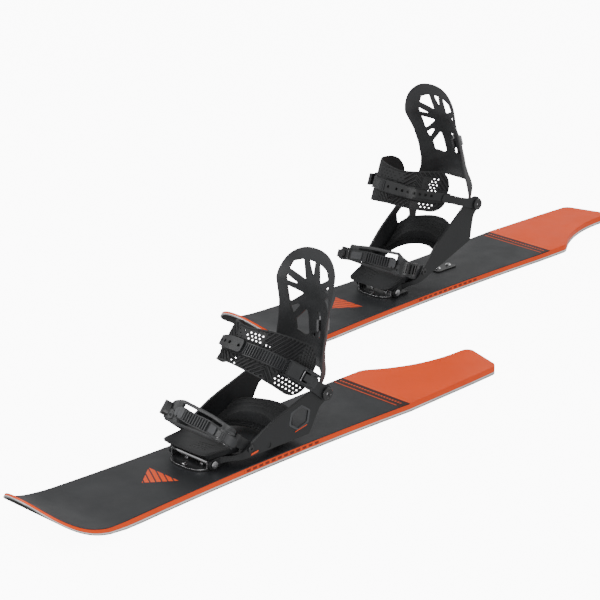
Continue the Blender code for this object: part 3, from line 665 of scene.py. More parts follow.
def build_chassis(side):
    other = wall()
    for vert in other.verts:
        vert.co.x *= -1
    plan = [(0.0545, 0.026), (FLOOR_HALF, 0.038), (FLOOR_HALF, FLOOR_REAR)]
    plan += [(-x, y) for x, y in reversed(plan)]
    body = combine(prism(plan, *FLOOR), merged(wall(), other), "UNION")
    boss = rounded([(0.012, 0.152), (0.012, 0.168), (-0.012, 0.168), (-0.012, 0.152)], 0.003)
    body = combine(body, prism(boss, -0.0036, 0.0045), "UNION")
    ring = [2 * pi * i / 64 for i in range(64)]
    steps = []
    for grow, low, high in ((0.0, -0.01, 0.02), (0.004, 0.0053, 0.02)):
        oval = [((HOLE_RADII[0] + grow) * cos(a), HOLE_Y + (HOLE_RADII[1] + grow) * sin(a)) for a in ring]
        steps.append(prism(oval, low, high))
    body = combine(body, steps[0])
    body = combine(body, steps[1])
    bores = [through(PIN_BORE, (0, 0)), through(ANKLE_BORE, ANKLE), through(TOE_BORE, TOE_ANCHOR)]
    body = combine(body, merged(*bores))
    body = combine(body, window(0.0195, 0.0165, 0.055, 0.075))
    body = combine(body, window(0.0232, 0.0200, 0.0650, 0.075))
    hole = turned_x([(0.0652, 0.0042), (0.075, 0.0042)], 0.087, 0.010)
    body = combine(body, hole)
    piece(side, "chassis_look", body, "base", "chassis",
          ["chassis"], bevel=0.0007, segments=3, angle=30)
    frame_ring = combine(window(0.0230, 0.0198, 0.0651, 0.0664), window(0.0192, 0.0162, 0.060, 0.070))
    piece(side, "window_frame", frame_ring, "base", "tip",
          bevel=0.0004)
    stripe = rounded([(0.139, 0.0140), (0.163, 0.0185), (0.163, 0.0196), (0.139, 0.0151)], 0.0003, 2)
    mark = rounded([(0.050, 0.0050), (0.064, 0.0068), (0.066, 0.0098), (0.052, 0.0080)], 0.0006, 2)
    prints = merged(prism(stripe, 0.0664, 0.0667, "x"), prism(mark, 0.0664, 0.0667, "x"))
    piece(side, "wall_print", prints, "base", "orange")


def build_ramp(side):
    """Toe platform with a thin overhanging front, a soft edge and slanted grooves."""
    half = [(0.0140, -0.0245), (0.0270, -0.0240), (0.0380, -0.0222), (0.0445, -0.0178), (0.0470, -0.0110),
            (0.0480, 0.0000), (0.0490, 0.0120), (0.0515, 0.0230), (0.0545, 0.0310), (0.0550, 0.0400)]
    sections = []
    levels = ((0.0105, -0.0112, 0.0030), (0.0140, -0.0150, 0.0020), (0.0178, -0.0195, 0.0008),
              (0.0190, -0.0228, 0.0002), (0.0198, -0.0240, 0.0), (0.0203, -0.0245, 0.0006))
    for level, front, tuck in levels:
        ring = [(x - tuck, max(y, front), level) for x, y in half]
        sections.append(ring + [(-x, y, z) for x, y, z in reversed(ring)])
    bm = loft(sections)
    grooves = []
    for k in range(4):
        y = -0.009 + 0.006 * k
        grooves.append(prism([(0.002, y), (0.030, y + 0.005), (0.030, y + 0.0060), (0.002, y + 0.0010)],
                             0.0197, 0.022))
    bm = combine(bm, merged(*grooves))
    piece(side, "ramp_look", bm, "base", "chassis",
          ["toe_ramp"], bevel=0.0005, segments=2, angle=40)


def build_heel_pad(side):
    """A foam pad that wraps the floor's round hole, with a rolled front edge and shallow arcs."""
    rows = []
    count_y, count_x = 40, 44
    for i in range(count_y + 1):
        part = i / count_y
        row = []
        for k in range(count_x + 1):
            x = -HEEL_PAD_HALF + 2 * HEEL_PAD_HALF * k / count_x
            out = abs(x) / HEEL_PAD_HALF
            front = HOLE_Y + 0.0530 * (1 - min(abs(x) / 0.0545, 1.0) ** 2.2) ** (1 / 2.2)
            y = front + (0.172 - 9.0 * x ** 2 - front) * part
            z = 0.0092 + 0.0225 * smooth_step(y, 0.088, 0.158)
            z += 0.0030 * out ** 4 * smooth_step(y, 0.110, 0.165)
            dip = hypot(x, y - HOLE_Y) - 0.054
            groove = 0.0008 * max(0.0, cos(dip * 2 * pi / 0.010)) if 0.003 < dip < 0.03 else 0.0
            row.append((x, y, z - groove - (0.0022 if i == 0 else 0.0)))
        rows.append(row)
    bm = bmesh.new()
    top = [[bm.verts.new(point) for point in row] for row in rows]
    low = [[bm.verts.new((x, y, 0.0068)) for x, y, _ in row] for row in rows]
    for i in range(count_y):
        for k in range(count_x):
            bm.faces.new((top[i][k], top[i][k + 1], top[i + 1][k + 1], top[i + 1][k]))
            bm.faces.new((low[i][k], low[i + 1][k], low[i + 1][k + 1], low[i][k + 1]))
    border = [(i, 0) for i in range(count_y)] + [(count_y, k) for k in range(count_x)]
    border += [(i, count_x) for i in range(count_y, 0, -1)] + [(0, k) for k in range(count_x, 0, -1)]
    for (a, b), (c, d) in zip(border, border[1:] + border[:1]):
        bm.faces.new((top[a][b], top[c][d], low[c][d], low[a][b]))
    pad = piece(side, "heel_pad_look", bm, "base", "foam",
                ["heel_pad"], angle=50)


def build_bolts(side):
    for name, sign in (("outer", 1), ("inner", -1)):
        face = 0.0703
        head = [(0.0560, 0.0030), (face, 0.0030), (face, 0.0092), (face + 0.0006, 0.0098),
                (face + 0.0026, 0.0098), (face + 0.0033, 0.0090), (face + 0.0033, 0.0062),
                (face + 0.0026, 0.0056)]
        bolt = turned_x([(sign * x, r) for x, r in head], *ANKLE, 40)
        socket = turned_x([(sign * (face + 0.0008), 0.0030), (sign * (face + 0.006), 0.0030)], *ANKLE, 6)
        piece(side, f"ankle_bolt_{name}_look", combine(bolt, socket), "base",
              "coated", [f"ankle_bolt_{name}"])
        core = [(face + 0.0010, 0.0026), (face + 0.0013, 0.0026), (face + 0.0013, 0.0018)]
        piece(side, f"ankle_bolt_{name}_eye", turned_x([(sign * x, r) for x, r in core], *ANKLE, 6),
              "base", "steel")
        toe = [(0.0570, 0.0040), (0.0574, 0.0045), (0.0588, 0.0045), (0.0588, 0.0022), (0.0668, 0.0022),
               (0.0668, 0.0052), (0.0672, 0.0055), (0.0684, 0.0055), (0.0690, 0.0048)]
        bolt = turned_x([(sign * x, r) for x, r in toe], *TOE_ANCHOR)
        socket = turned_x([(sign * 0.0678, 0.0020), (sign * 0.072, 0.0020)], *TOE_ANCHOR, 6)
        piece(side, f"toe_bolt_{name}_look", combine(bolt, socket), "base",
              "coated", [f"toe_bolt_{name}"])


# ---------------------------------------------------------------- highback
def back_section(z):
    y_bolt, z_bolt = ANKLE
    if z <= BACK_SECTIONS[0][0]:
        ear = BOSS_RADIUS - 0.001
        front = y_bolt - sqrt(max(ear ** 2 - (z - z_bolt) ** 2, 0.0))
        _, centre, half, _, depth, power = BACK_SECTIONS[0]
        return centre, half, front, depth, power
    for below, above in zip(BACK_SECTIONS, BACK_SECTIONS[1:]):
        if z <= above[0]:
            part = (z - below[0]) / (above[0] - below[0])
            break
    part = part * part * (3 - 2 * part) * 0.35 + part * 0.65
    return [a + (b - a) * part for a, b in zip(below[1:], above[1:])]


def back_point(z, turn, off=0.0):
    """A point of the highback's middle surface; turn runs from -1 to 1 across it."""
    centre, half, front, depth, power = back_section(z)
    across = sin(turn * pi / 2)
    if z > BACK_ROUND_Z:
        part = (z - BACK_ROUND_Z) / (BACK_TOP - BACK_ROUND_Z)
        across *= (1 - min(part, 1.0) ** 2.3) ** (1 / 2.3)
    return centre + half * across, front + depth * (1 - abs(across) ** power) + off, z


def back_outlines():
    windows = (
        ((0.0148, 0.2375), (0.0331, 0.2310), (0.0390, 0.2190), (0.0130, 0.2037)),
        ((0.0420, 0.2115), (0.0415, 0.2000), (0.0290, 0.1955), (0.0270, 0.1985)),
        ((0.0415, 0.1930), (0.0205, 0.1815), (0.0395, 0.1660)),
        ((0.0388, 0.1590), (0.0293, 0.1640), (0.0275, 0.1610), (0.0360, 0.1475)),
        ((0.0190, 0.1570), (0.0335, 0.1390), (0.0320, 0.1235), (0.0215, 0.1145), (0.0165, 0.1165)),
    )
    outlines = [rounded([(-0.0068, 0.2375), (0.0068, 0.2375), (0.0008, 0.2125), (-0.0008, 0.2125)], 0.0012)]
    small = [(-0.0130, 0.1125), (-0.0065, 0.1125), (-0.0065, 0.1190), (-0.0130, 0.1190)]
    outlines.append(rounded(small, 0.001))
    for points in windows:
        outlines.append(rounded(points, 0.0016))
        outlines.append(rounded([(-x, z) for x, z in reversed(points)], 0.0016))
    outlines.append(rounded([(-0.003, 0.112), (0.003, 0.112), (0.003, 0.154), (-0.003, 0.154)], 0.0028))
    outlines = [[(x + WINDOW_SHIFT, z) for x, z in points] for points in outlines]
    half = [(0.0500, 0.030), (0.0500, 0.058), (0.0430, 0.069), (0.0240, 0.0775)]
    outlines.append(rounded(half + [(-x, z) for x, z in reversed(half)], 0.008))
    return outlines


def build_highback(side):
    low = ANKLE[1] - BOSS_RADIUS + 0.0011
    rows = [low + 0.0222 * i / 10 for i in range(11)]
    rows += [0.0690 + (BACK_ROUND_Z - 0.0690) * i / 40 for i in range(40)]
    rows += [BACK_ROUND_Z + (BACK_TOP - BACK_ROUND_Z) * sin(pi / 2 * i / 29) for i in range(29)]
    columns = 44
    bm = bmesh.new()
    shells = []
    for off in (-BACK_THICK / 2, BACK_THICK / 2):
        grid = []
        for z in rows:
            grid.append([bm.verts.new(back_point(z, 2 * i / columns - 1, off)) for i in range(columns + 1)])
        shells.append(grid)
    for grid in shells:
        for row, above in zip(grid, grid[1:]):
            for i in range(columns):
                bm.faces.new((row[i], row[i + 1], above[i + 1], above[i]))
    front, back = shells
    count = len(rows) - 1
    border = [(j, 0) for j in range(count)] + [(count, i) for i in range(columns)]
    border += [(j, columns) for j in range(count, 0, -1)] + [(0, i) for i in range(columns, 0, -1)]
    for (a, b), (c, d) in zip(border, border[1:] + border[:1]):
        bm.faces.new((front[a][b], front[c][d], back[c][d], back[a][b]))
    cutters = merged(*[prism(points, 0.15, 0.30, "y") for points in back_outlines()])
    shell = combine(bm, cutters)
    shell = combine(shell, through(ANKLE_BORE, ANKLE))
    piece(side, "highback_look", shell, "back", "back",
          ["highback"], bevel=0.0006, segments=2, angle=42)
    middle = back_point(0.1158, 0.0)[1]
    plug = rounded([(-0.0088, 0.1127), (-0.0027, 0.1127), (-0.0027, 0.1188), (-0.0088, 0.1188)], 0.001)
    piece(side, "highback_plug", prism(plug, middle - 0.0004, middle + 0.0012, "y"), "back",
          "base", bevel=0.0003)


# ---------------------------------------------------------------- straps
class Arch:
    """A strap's path over the boot, from the inner anchor (-90) to the outer one (90)."""

    def __init__(self, anchor, forward, half, height, sag, power, bulges):
        self.forward = Vector((0.0, *forward)).normalized()
        self.width = Vector((0.0, self.forward.z, -self.forward.y))
        self.anchor = Vector((0.0, *anchor))
        self.half = half
        self.height = height
        self.sag = sag
        self.power = power
        self.bulges = bulges
        self.stations = [90 * (i / 180) * abs(i / 180) for i in range(-180, 181)]
        steps = [self.point(degrees, 0.0, 0.0) for degrees in self.stations]
        self.lengths = [0.0]
        for a, b in zip(steps, steps[1:]):
            self.lengths.append(self.lengths[-1] + (b - a).length)

    def bulge(self, degrees):
        """How far a shoulder stands out beyond the plain curve."""
        start, inner, outer = self.bulges
        part = max(abs(degrees) - start, 0.0) / (90 - start)
        return (outer if degrees > 0 else inner) * sin(pi * part) ** 2

    def point(self, degrees, offset, across):
        """A point at an angle, an offset outward and a distance across the strap."""
        angle = radians(degrees)
        side = 1 if degrees >= 0 else -1
        power = 2 / self.power
        u = abs(sin(angle)) ** power
        v = max(cos(angle), 0.0) ** power
        slope = self.power - 1
        offset += self.bulge(degrees)
        normal = Vector((side * u ** slope / self.half, v ** slope / self.height)).normalized()
        x = side * u * self.half + normal.x * offset
        rise = v * self.height + normal.y * offset
        drop = self.sag * cos(angle)
        return Vector((x, 0.0, 0.0)) + self.anchor + self.forward * rise + self.width * (across - drop)

    def run(self, degrees):
        """Length along the strap from the inner anchor."""
        return float(numpy.interp(degrees, self.stations, self.lengths))

    def at(self, length):
        """The angle at a length along the strap."""
        return float(numpy.interp(length, self.lengths, self.stations))


ANKLE_ARCH = Arch(ANKLE, (-0.76, 0.65), 0.0668, 0.139, 0.010, 2.8, (0, 0.0, 0.012))
TOE_ARCH = Arch(TOE_ANCHOR, (-0.76, 0.65), 0.0590, 0.052, 0.002, 4.5, (25, 0.015, 0.013))
ARM_LAYER = (0.0004, 0.0030)
PAD_SPAN = (-66, 78)
PAD_MIDDLE = 0.006


def angles(start, end, step=2.0):
    count = max(round(abs(end - start) / step), 1)
    return [start + (end - start) * i / count for i in range(count + 1)]


def ribbon(arch, places, profile):
    """A strap through a ring of (offset, across) at each angle."""
    return loft([[arch.point(d, off, across) for off, across in profile(d)] for d in places])


def plate(arch, start, end, layer, edges, step=2.0, round_ends=(0.0, 0.0)):
    """A band between two edges; round_ends are the lengths over which its two ends narrow."""
    first, last = arch.run(start), arch.run(end)

    def profile(degrees):
        near, far = edges(degrees) if callable(edges) else edges
        middle, half = (near + far) / 2, (far - near) / 2
        place = arch.run(degrees)
        for distance, reach in ((abs(place - first), round_ends[0]), (abs(last - place), round_ends[1])):
            if reach and distance < reach:
                half *= 0.35 + 0.65 * sqrt(1 - (1 - distance / reach) ** 2)
        low, high = layer(degrees) if callable(layer) else layer
        return [(low, middle - half), (high, middle - half), (high, middle + half), (low, middle + half)]

    places = angles(start, end, step)
    for end_index, reach in enumerate(round_ends):
        if reach:
            edge, inward = (start, 1) if end_index == 0 else (end, -1)
            sign = inward if end > start else -inward
            places += [edge + sign * d for d in (0.15, 0.4, 0.8, 1.4, 2.1, 3.0)]
    return ribbon(arch, sorted(set(places)), profile)


def drill(arch, degrees, across, radius, low, high, segments=16, toward=None):
    """A round cutter through a strap, along its normal or a given direction."""
    base = arch.point(degrees, 0.0, across)
    normal = toward or (arch.point(degrees, 0.01, across) - base)
    normal = Vector(normal).normalized()
    first = normal.orthogonal().normalized()
    second = normal.cross(first)
    ring = [2 * pi * (i + 0.5) / segments for i in range(segments)]
    return loft([[base + normal * level + first * radius * cos(a) + second * radius * sin(a) for a in ring]
                 for level in (low, high)])


def pad_edges(degrees):
    """The ankle pad widens to both sides and is rounded off at its ends."""
    start, end = PAD_SPAN
    low = -0.0230 - 0.0110 * max(degrees / end, 0.0)
    high = 0.0365 + 0.0120 * min(abs(degrees) / 60, 1.0)
    left = min((degrees - start) / 16, 1.0)
    right = min((end - degrees) / 16, 1.0)
    rounding = 0.25 + 0.75 * sqrt(1 - (1 - min(left, right)) ** 2)
    return PAD_MIDDLE + (low - PAD_MIDDLE) * rounding, PAD_MIDDLE + (high - PAD_MIDDLE) * rounding


def smooth_step(value, low, high):
    part = min(max((value - low) / (high - low), 0.0), 1.0)
    return part * part * (3 - 2 * part)


# Perforated fields of the ankle pad: degrees, across, rows, row pitch and direction of the holes
OUTER_PULL = (0.670, -0.654, 0.352)
INNER_PULL = (-0.670, -0.494, 0.555)
FIELDS = (
    ((48.0, 79.0), (-0.0305, -0.0130), 4, 4.0, OUTER_PULL),
    ((-6.0, 21.0), (0.0200, 0.0345), 4, 5.2, OUTER_PULL),
    ((-52.0, -36.0), (0.0130, 0.0330), 5, 4.6, INNER_PULL),
    ((-52.0, -26.0), (-0.0215, -0.0115), 3, 5.2, INNER_PULL),
)
SMALL_FIELD = (
    (27.0, 0.0192), (31.0, 0.0192), (35.0, 0.0192),
    (2.0, -0.0130), (0.0, -0.0175), (3.0, -0.0205),
)


def in_field(degrees, across):
    for (start, end), (low, high), *_ in FIELDS:
        if start - 2.5 < degrees < end + 2.5 and low - 0.0025 < across < high + 0.0025:
            return True
    return False


def pad_relief(arch, degrees, across):
    """Height of the pad's outer face: ribs in chevrons, plain rims and plain fields of holes."""
    low, high = pad_edges(degrees)
    rim = min(across - low, high - across)
    place = arch.run(degrees)
    if across > 0.004:
        apex = arch.run(58.0) + 0.18 * (across - 0.015)
        if degrees < 12:
            apex = arch.run(-24.0)
        wave = across + (2.1 if degrees >= 12 else 0.9) * abs(place - apex)
        period = 0.0135 if degrees >= 12 else 0.0082
    else:
        apex = arch.run(3.0) if degrees < 36 else arch.run(70.0)
        wave = across - 1.0 * abs(place - apex)
        period = 0.0080
    rib = smooth_step(sin(2 * pi * wave / period), -0.45, 0.45)
    if in_field(degrees, across):
        rib = 0.35
    strap = smooth_step(abs(across - 0.004), 0.0105, 0.0120)
    relief = -0.0016 + 0.0024 * rib
    relief = relief + (0.0004 - relief) * (1 - smooth_step(rim, 0.0018, 0.0030))
    return -0.0002 + (relief + 0.0002) * strap


def build_pad(side):
    """Perforated, ribbed moulding over the instep."""
    arch = ANKLE_ARCH
    fine, coarse = 76, 6
    start, end = PAD_SPAN
    places = angles(start, end, 0.62)
    places += [edge + sign * d for edge, sign in ((start, 1), (end, -1)) for d in (0.12, 0.3)]

    def profile(degrees):
        low, high = pad_edges(degrees)
        ring = []
        for i in range(fine + 1):
            across = low + (high - low) * i / fine
            ring.append((pad_relief(arch, degrees, across), across))
        for i in range(coarse, -1, -1):
            across = low + (high - low) * i / coarse
            edge = 0.0010 if i in (0, coarse) else 0.0
            ring.append((-0.0036 + edge, across))
        return ring

    bm = ribbon(arch, sorted(set(places)), profile)
    cutters = []
    for (first, last), (low, high), rows, pitch, pull in FIELDS:
        for row in range(rows):
            across = low + (high - low) * row / (rows - 1)
            count = int((last - first) / pitch)
            for k in range(count + 1):
                degrees = first + pitch * (k + 0.5 * (row % 2))
                near, far = pad_edges(degrees)
                if degrees <= last and near + 0.004 < across < far - 0.004:
                    cutters.append(drill(arch, degrees, across, 0.0011, -0.050, 0.030, 8, pull))
    for degrees, across in SMALL_FIELD:
        cutters.append(drill(arch, degrees, across, 0.0010, -0.030, 0.020, 8, OUTER_PULL))
    for degrees in (-23.8, -31.0):
        cutters.append(drill(arch, degrees, 0.0046, 0.0030, -0.030, 0.012, 12, INNER_PULL))
    bm = combine(bm, merged(*cutters))
    pad = piece(side, "ankle_pad_look", bm, "ankle",
                "rubber", ["ankle_pad"], angle=40)


def toothed(arch, start, end, edges, base, teeth, low, valley, crest, round_start=0.0,
            drift=lambda d: 0.0, lift=lambda d: 0.0):
    """A ladder strap: plain borders and a row of cross teeth between two angles."""
    near, far = edges
    centre, half = (near + far) / 2, (far - near) / 2
    first, last, count = teeth
    pitch = (arch.run(last) - arch.run(first)) / count
    marks = {}
    for k in range(count):
        for part, level in ((0.0, valley), (0.22, crest), (0.62, crest), (0.80, valley)):
            marks[arch.at(arch.run(first) + (k + part) * pitch)] = level
    places = sorted(set(p for p in angles(start, end, 2.0) if not first <= p <= last) | set(marks))
    origin = arch.run(start)

    def profile(degrees):
        level = marks.get(degrees, base)
        size = half
        distance = arch.run(degrees) - origin
        if round_start and distance < round_start:
            size = half * (0.3 + 0.7 * sqrt(1 - (1 - distance / round_start) ** 2))
        half_ring = ((low, size), (base, size), (base, size - 0.0016), (level, size - 0.0019))
        middle, rise = centre + drift(degrees), lift(degrees)
        ring = [(off + rise, middle - reach) for off, reach in half_ring]
        return ring + [(off + rise, middle + reach) for off, reach in reversed(half_ring)]

    if round_start:
        places = sorted(set(places) | {start + d for d in (0.2, 0.5, 1.0, 1.7, 2.6, 3.6)})
    return ribbon(arch, places, profile)


def eyelet(arch, bm, sign, layer, radius, bore):
    y, z = arch.anchor.y, arch.anchor.z
    inside = sign * (arch.half + layer[0] + 0.00002)
    outside = sign * (arch.half + layer[1] - 0.00002)
    bm = combine(bm, turned_x([(inside, radius), (outside, radius)], y, z, 48), "UNION")
    return combine(bm, turned_x([(sign * 0.04, bore), (sign * 0.09, bore)], y, z, 32))


def build_ankle_strap(side):
    arch = ANKLE_ARCH
    build_pad(side)

    ladder = toothed(arch, -26, 70, (-0.0058, 0.0138), 0.0022, (6.4, 49.6, 17), 0.0005, 0.0012, 0.0037)
    piece(side, "ankle_ladder_look", ladder, "ankle", "ladder", ["ankle_ladder"],
          bevel=0.00025, segments=1)

    # Holed strap on the inner side, drawn over the start of the ladder
    def cover_edges(degrees):
        grow = 0.0100 - 0.0030 * smooth_step(-degrees, 6, 26)
        return 0.0048 - grow, 0.0048 + grow

    def cover_layer(degrees):
        lift = smooth_step(degrees, -40, -28)
        return 0.0004 + 0.0036 * lift, 0.0032 + 0.0042 * lift

    cover = plate(arch, -68, 5.6, cover_layer, cover_edges, 1.6, (0.0, 0.004))
    skirts = []
    for sign in (-1, 1):
        def skirt_edges(degrees, sign=sign):
            near, far = cover_edges(degrees)
            outer = near if sign < 0 else far
            return min(outer, outer - sign * 0.0011), max(outer, outer - sign * 0.0011)
        skirts.append(plate(arch, -24, 3.6, (0.0001, 0.0045), skirt_edges, 2.0))
    cover = combine(cover, merged(*skirts), "UNION")
    holes = [drill(arch, 2.0 - 7.1 * k, 0.0046, 0.0025, -0.002, 0.014) for k in range(8)]
    cover = combine(cover, merged(*holes))
    piece(side, "ankle_holed_strap", cover, "ankle", "strap",
          bevel=0.0006, segments=3)

    def inner_edges(degrees):
        grow = 0.0072 + 0.0012 * smooth_step(-degrees, 80, 90)
        lean = 0.0028 * smooth_step(degrees, -84, -66)
        return lean - grow, lean + grow

    arm = plate(arch, -80, -60, (0.0036, 0.0052), inner_edges, 2.0, (0.004, 0.005))
    low_arm = plate(arch, -90, -69, ARM_LAYER, inner_edges, 2.0)
    low_arm = eyelet(arch, low_arm, -1, ARM_LAYER, 0.0112, 0.0033)
    piece(side, "ankle_arm_inner_look", low_arm, "ankle", "strap",
          ["ankle_arm_inner"], bevel=0.0006, segments=3)
    piece(side, "ankle_arm_inner_clip", arm, "ankle", "strap", bevel=0.0005)

    def outer_edges(degrees):
        grow = 0.0086 + 0.0014 * smooth_step(degrees, 80, 90)
        return -grow, grow

    arm = plate(arch, 90, 74, ARM_LAYER, outer_edges, 1.6)
    arm = eyelet(arch, arm, 1, ARM_LAYER, 0.0112, 0.0033)
    piece(side, "ankle_arm_outer_look", arm, "ankle", "strap",
          ["ankle_arm_outer"], bevel=0.0006, segments=3)
    build_ratchet(side, "ankle", arch, (50.0, 82.0), lambda d: (-0.0100, 0.0150), 0.0, 0.0140, 66.0, 81.0)
    # Lever: a smooth plate in front, two arms and a knuckle on the hinge
    lever = plate(arch, 50.6, 61.8, (0.0154, 0.0186), (-0.0080, 0.0122), 1.0, (0.002, 0.0))
    lip = plate(arch, 50.2, 52.4, (0.0142, 0.0192), (-0.0080, 0.0122), 0.7)
    arms = [plate(arch, 60.0, 74.0, (0.0144, 0.0168), edges, 1.0) for edges in
            ((-0.0078, -0.0060), (0.0102, 0.0120))]
    knuckle = plate(arch, 66.0, 74.6, (0.0126, 0.0176), (-0.0030, 0.0072), 1.0, (0.0, 0.003))
    bridge = plate(arch, 70.6, 73.4, (0.0140, 0.0162), (-0.0078, 0.0120), 0.8)
    for extra in (lip, arms[0], arms[1], bridge, knuckle):
        lever = combine(lever, extra, "UNION")
    piece(side, "ankle_lever_look", lever, "ankle_catch", "ratchet",
          ["ankle_lever"], bevel=0.0006, segments=3)
    tongue = plate(arch, 68.0, 79.6, (0.0060, 0.0150), (0.0112, 0.0158), 1.0, (0.003, 0.006))
    piece(side, "ankle_ratchet_tongue", tongue, "ankle", "ratchet",
          bevel=0.0008, segments=3)


def build_ratchet(side, name, arch, span, edges, lift, top, hinge, tail):
    """A buckle: a tray, two cheeks with pins between them, a pawl and a tail block.

    The cheeks reach out to top; the lever's pin is at the hinge angle.
    """
    start, end = span
    catch = start + 0.2 * (end - start)
    tray = plate(arch, start, end, (0.0040, 0.0058 + lift), edges, 1.5, (0.002, 0.006))

    def layer(degrees):
        rise = smooth_step(degrees, start, catch)
        fall = 1 - smooth_step(degrees, hinge + 4.0, end - 0.5)
        return 0.0050, 0.0064 + lift + (top - lift - 0.0064) * min(0.55 + 0.45 * rise, fall)

    for inner, outer in ((0.0022, 0.0), (0.0, 0.0022)):
        def cheek(degrees, inner=inner, outer=outer):
            near, far = edges(degrees)
            return (near, near + inner) if inner else (far - outer, far)
        tray = combine(tray, plate(arch, start + 0.4, end - 0.4, layer, cheek, 1.0), "UNION")

    def inside(degrees, margin=0.0045):
        near, far = edges(degrees)
        return near + margin, far - margin

    block = plate(arch, hinge + 5.0, tail, (0.0050, 0.0108 + lift), inside, 1.0, (0.0, 0.003))
    tray = combine(tray, block, "UNION")
    piece(side, f"{name}_ratchet_look", tray, name, "ratchet",
          [f"{name}_ratchet"], bevel=0.0005, segments=2)
    pins = []
    for degrees, off, radius in ((hinge, top - 0.0024, 0.0013), (catch, top - 0.0044, 0.0010)):
        near, far = edges(degrees)
        line = arch.point(degrees, off, near - 0.0004), arch.point(degrees, off, far + 0.0004)
        along = (line[1] - line[0]).normalized()
        first = along.orthogonal().normalized()
        second = along.cross(first)
        ring = [2 * pi * i / 20 for i in range(20)]
        round_line = [first * radius * cos(a) + second * radius * sin(a) for a in ring]
        pins.append(loft([[p + spoke for spoke in round_line] for p in line]))
    piece(side, f"{name}_ratchet_pins", merged(*pins), name, "pin", bevel=0.0002)
    pawl = plate(arch, start + 1.0, start + 0.30 * (end - start), (0.0062 + lift, 0.0098 + lift),
                 lambda d: inside(d, 0.0030), 0.8)
    piece(side, f"{name}_ratchet_pawl", pawl, name, "coated",
          bevel=0.0006, segments=2)


def toe_drift(degrees):
    """The toe ladder slants forward on its way to the buckle."""
    return 0.0015 - 0.00017 * max(degrees, -15)


def toe_lift(degrees):
    """The toe ladder lies in the cap's slot at the crest and climbs over it on both sides."""
    return 0.0105 * smooth_step(degrees, 4, 34) + 0.0030 * smooth_step(-degrees, 14, 26)


def drifting(near, far):
    """Edges that follow the toe ladder forward."""
    return lambda degrees: (near + toe_drift(degrees), far + toe_drift(degrees))


def lifted(low, high):
    """A layer that follows the toe ladder's rise."""
    return lambda degrees: (low + toe_lift(degrees), high + toe_lift(degrees))


def cap_edges(degrees):
    """The toe cap's front edge is straight; its rear edge is wider on the inner side."""
    spread = abs(sin(radians(degrees))) ** 0.444
    if degrees < 0:
        return -0.0145, 0.0212 + 0.0040 * spread - 0.0095 * smooth_step(-degrees, 30, 60)
    return -0.0145, 0.0212 - 0.0045 * spread - 0.0058 * spread ** 3


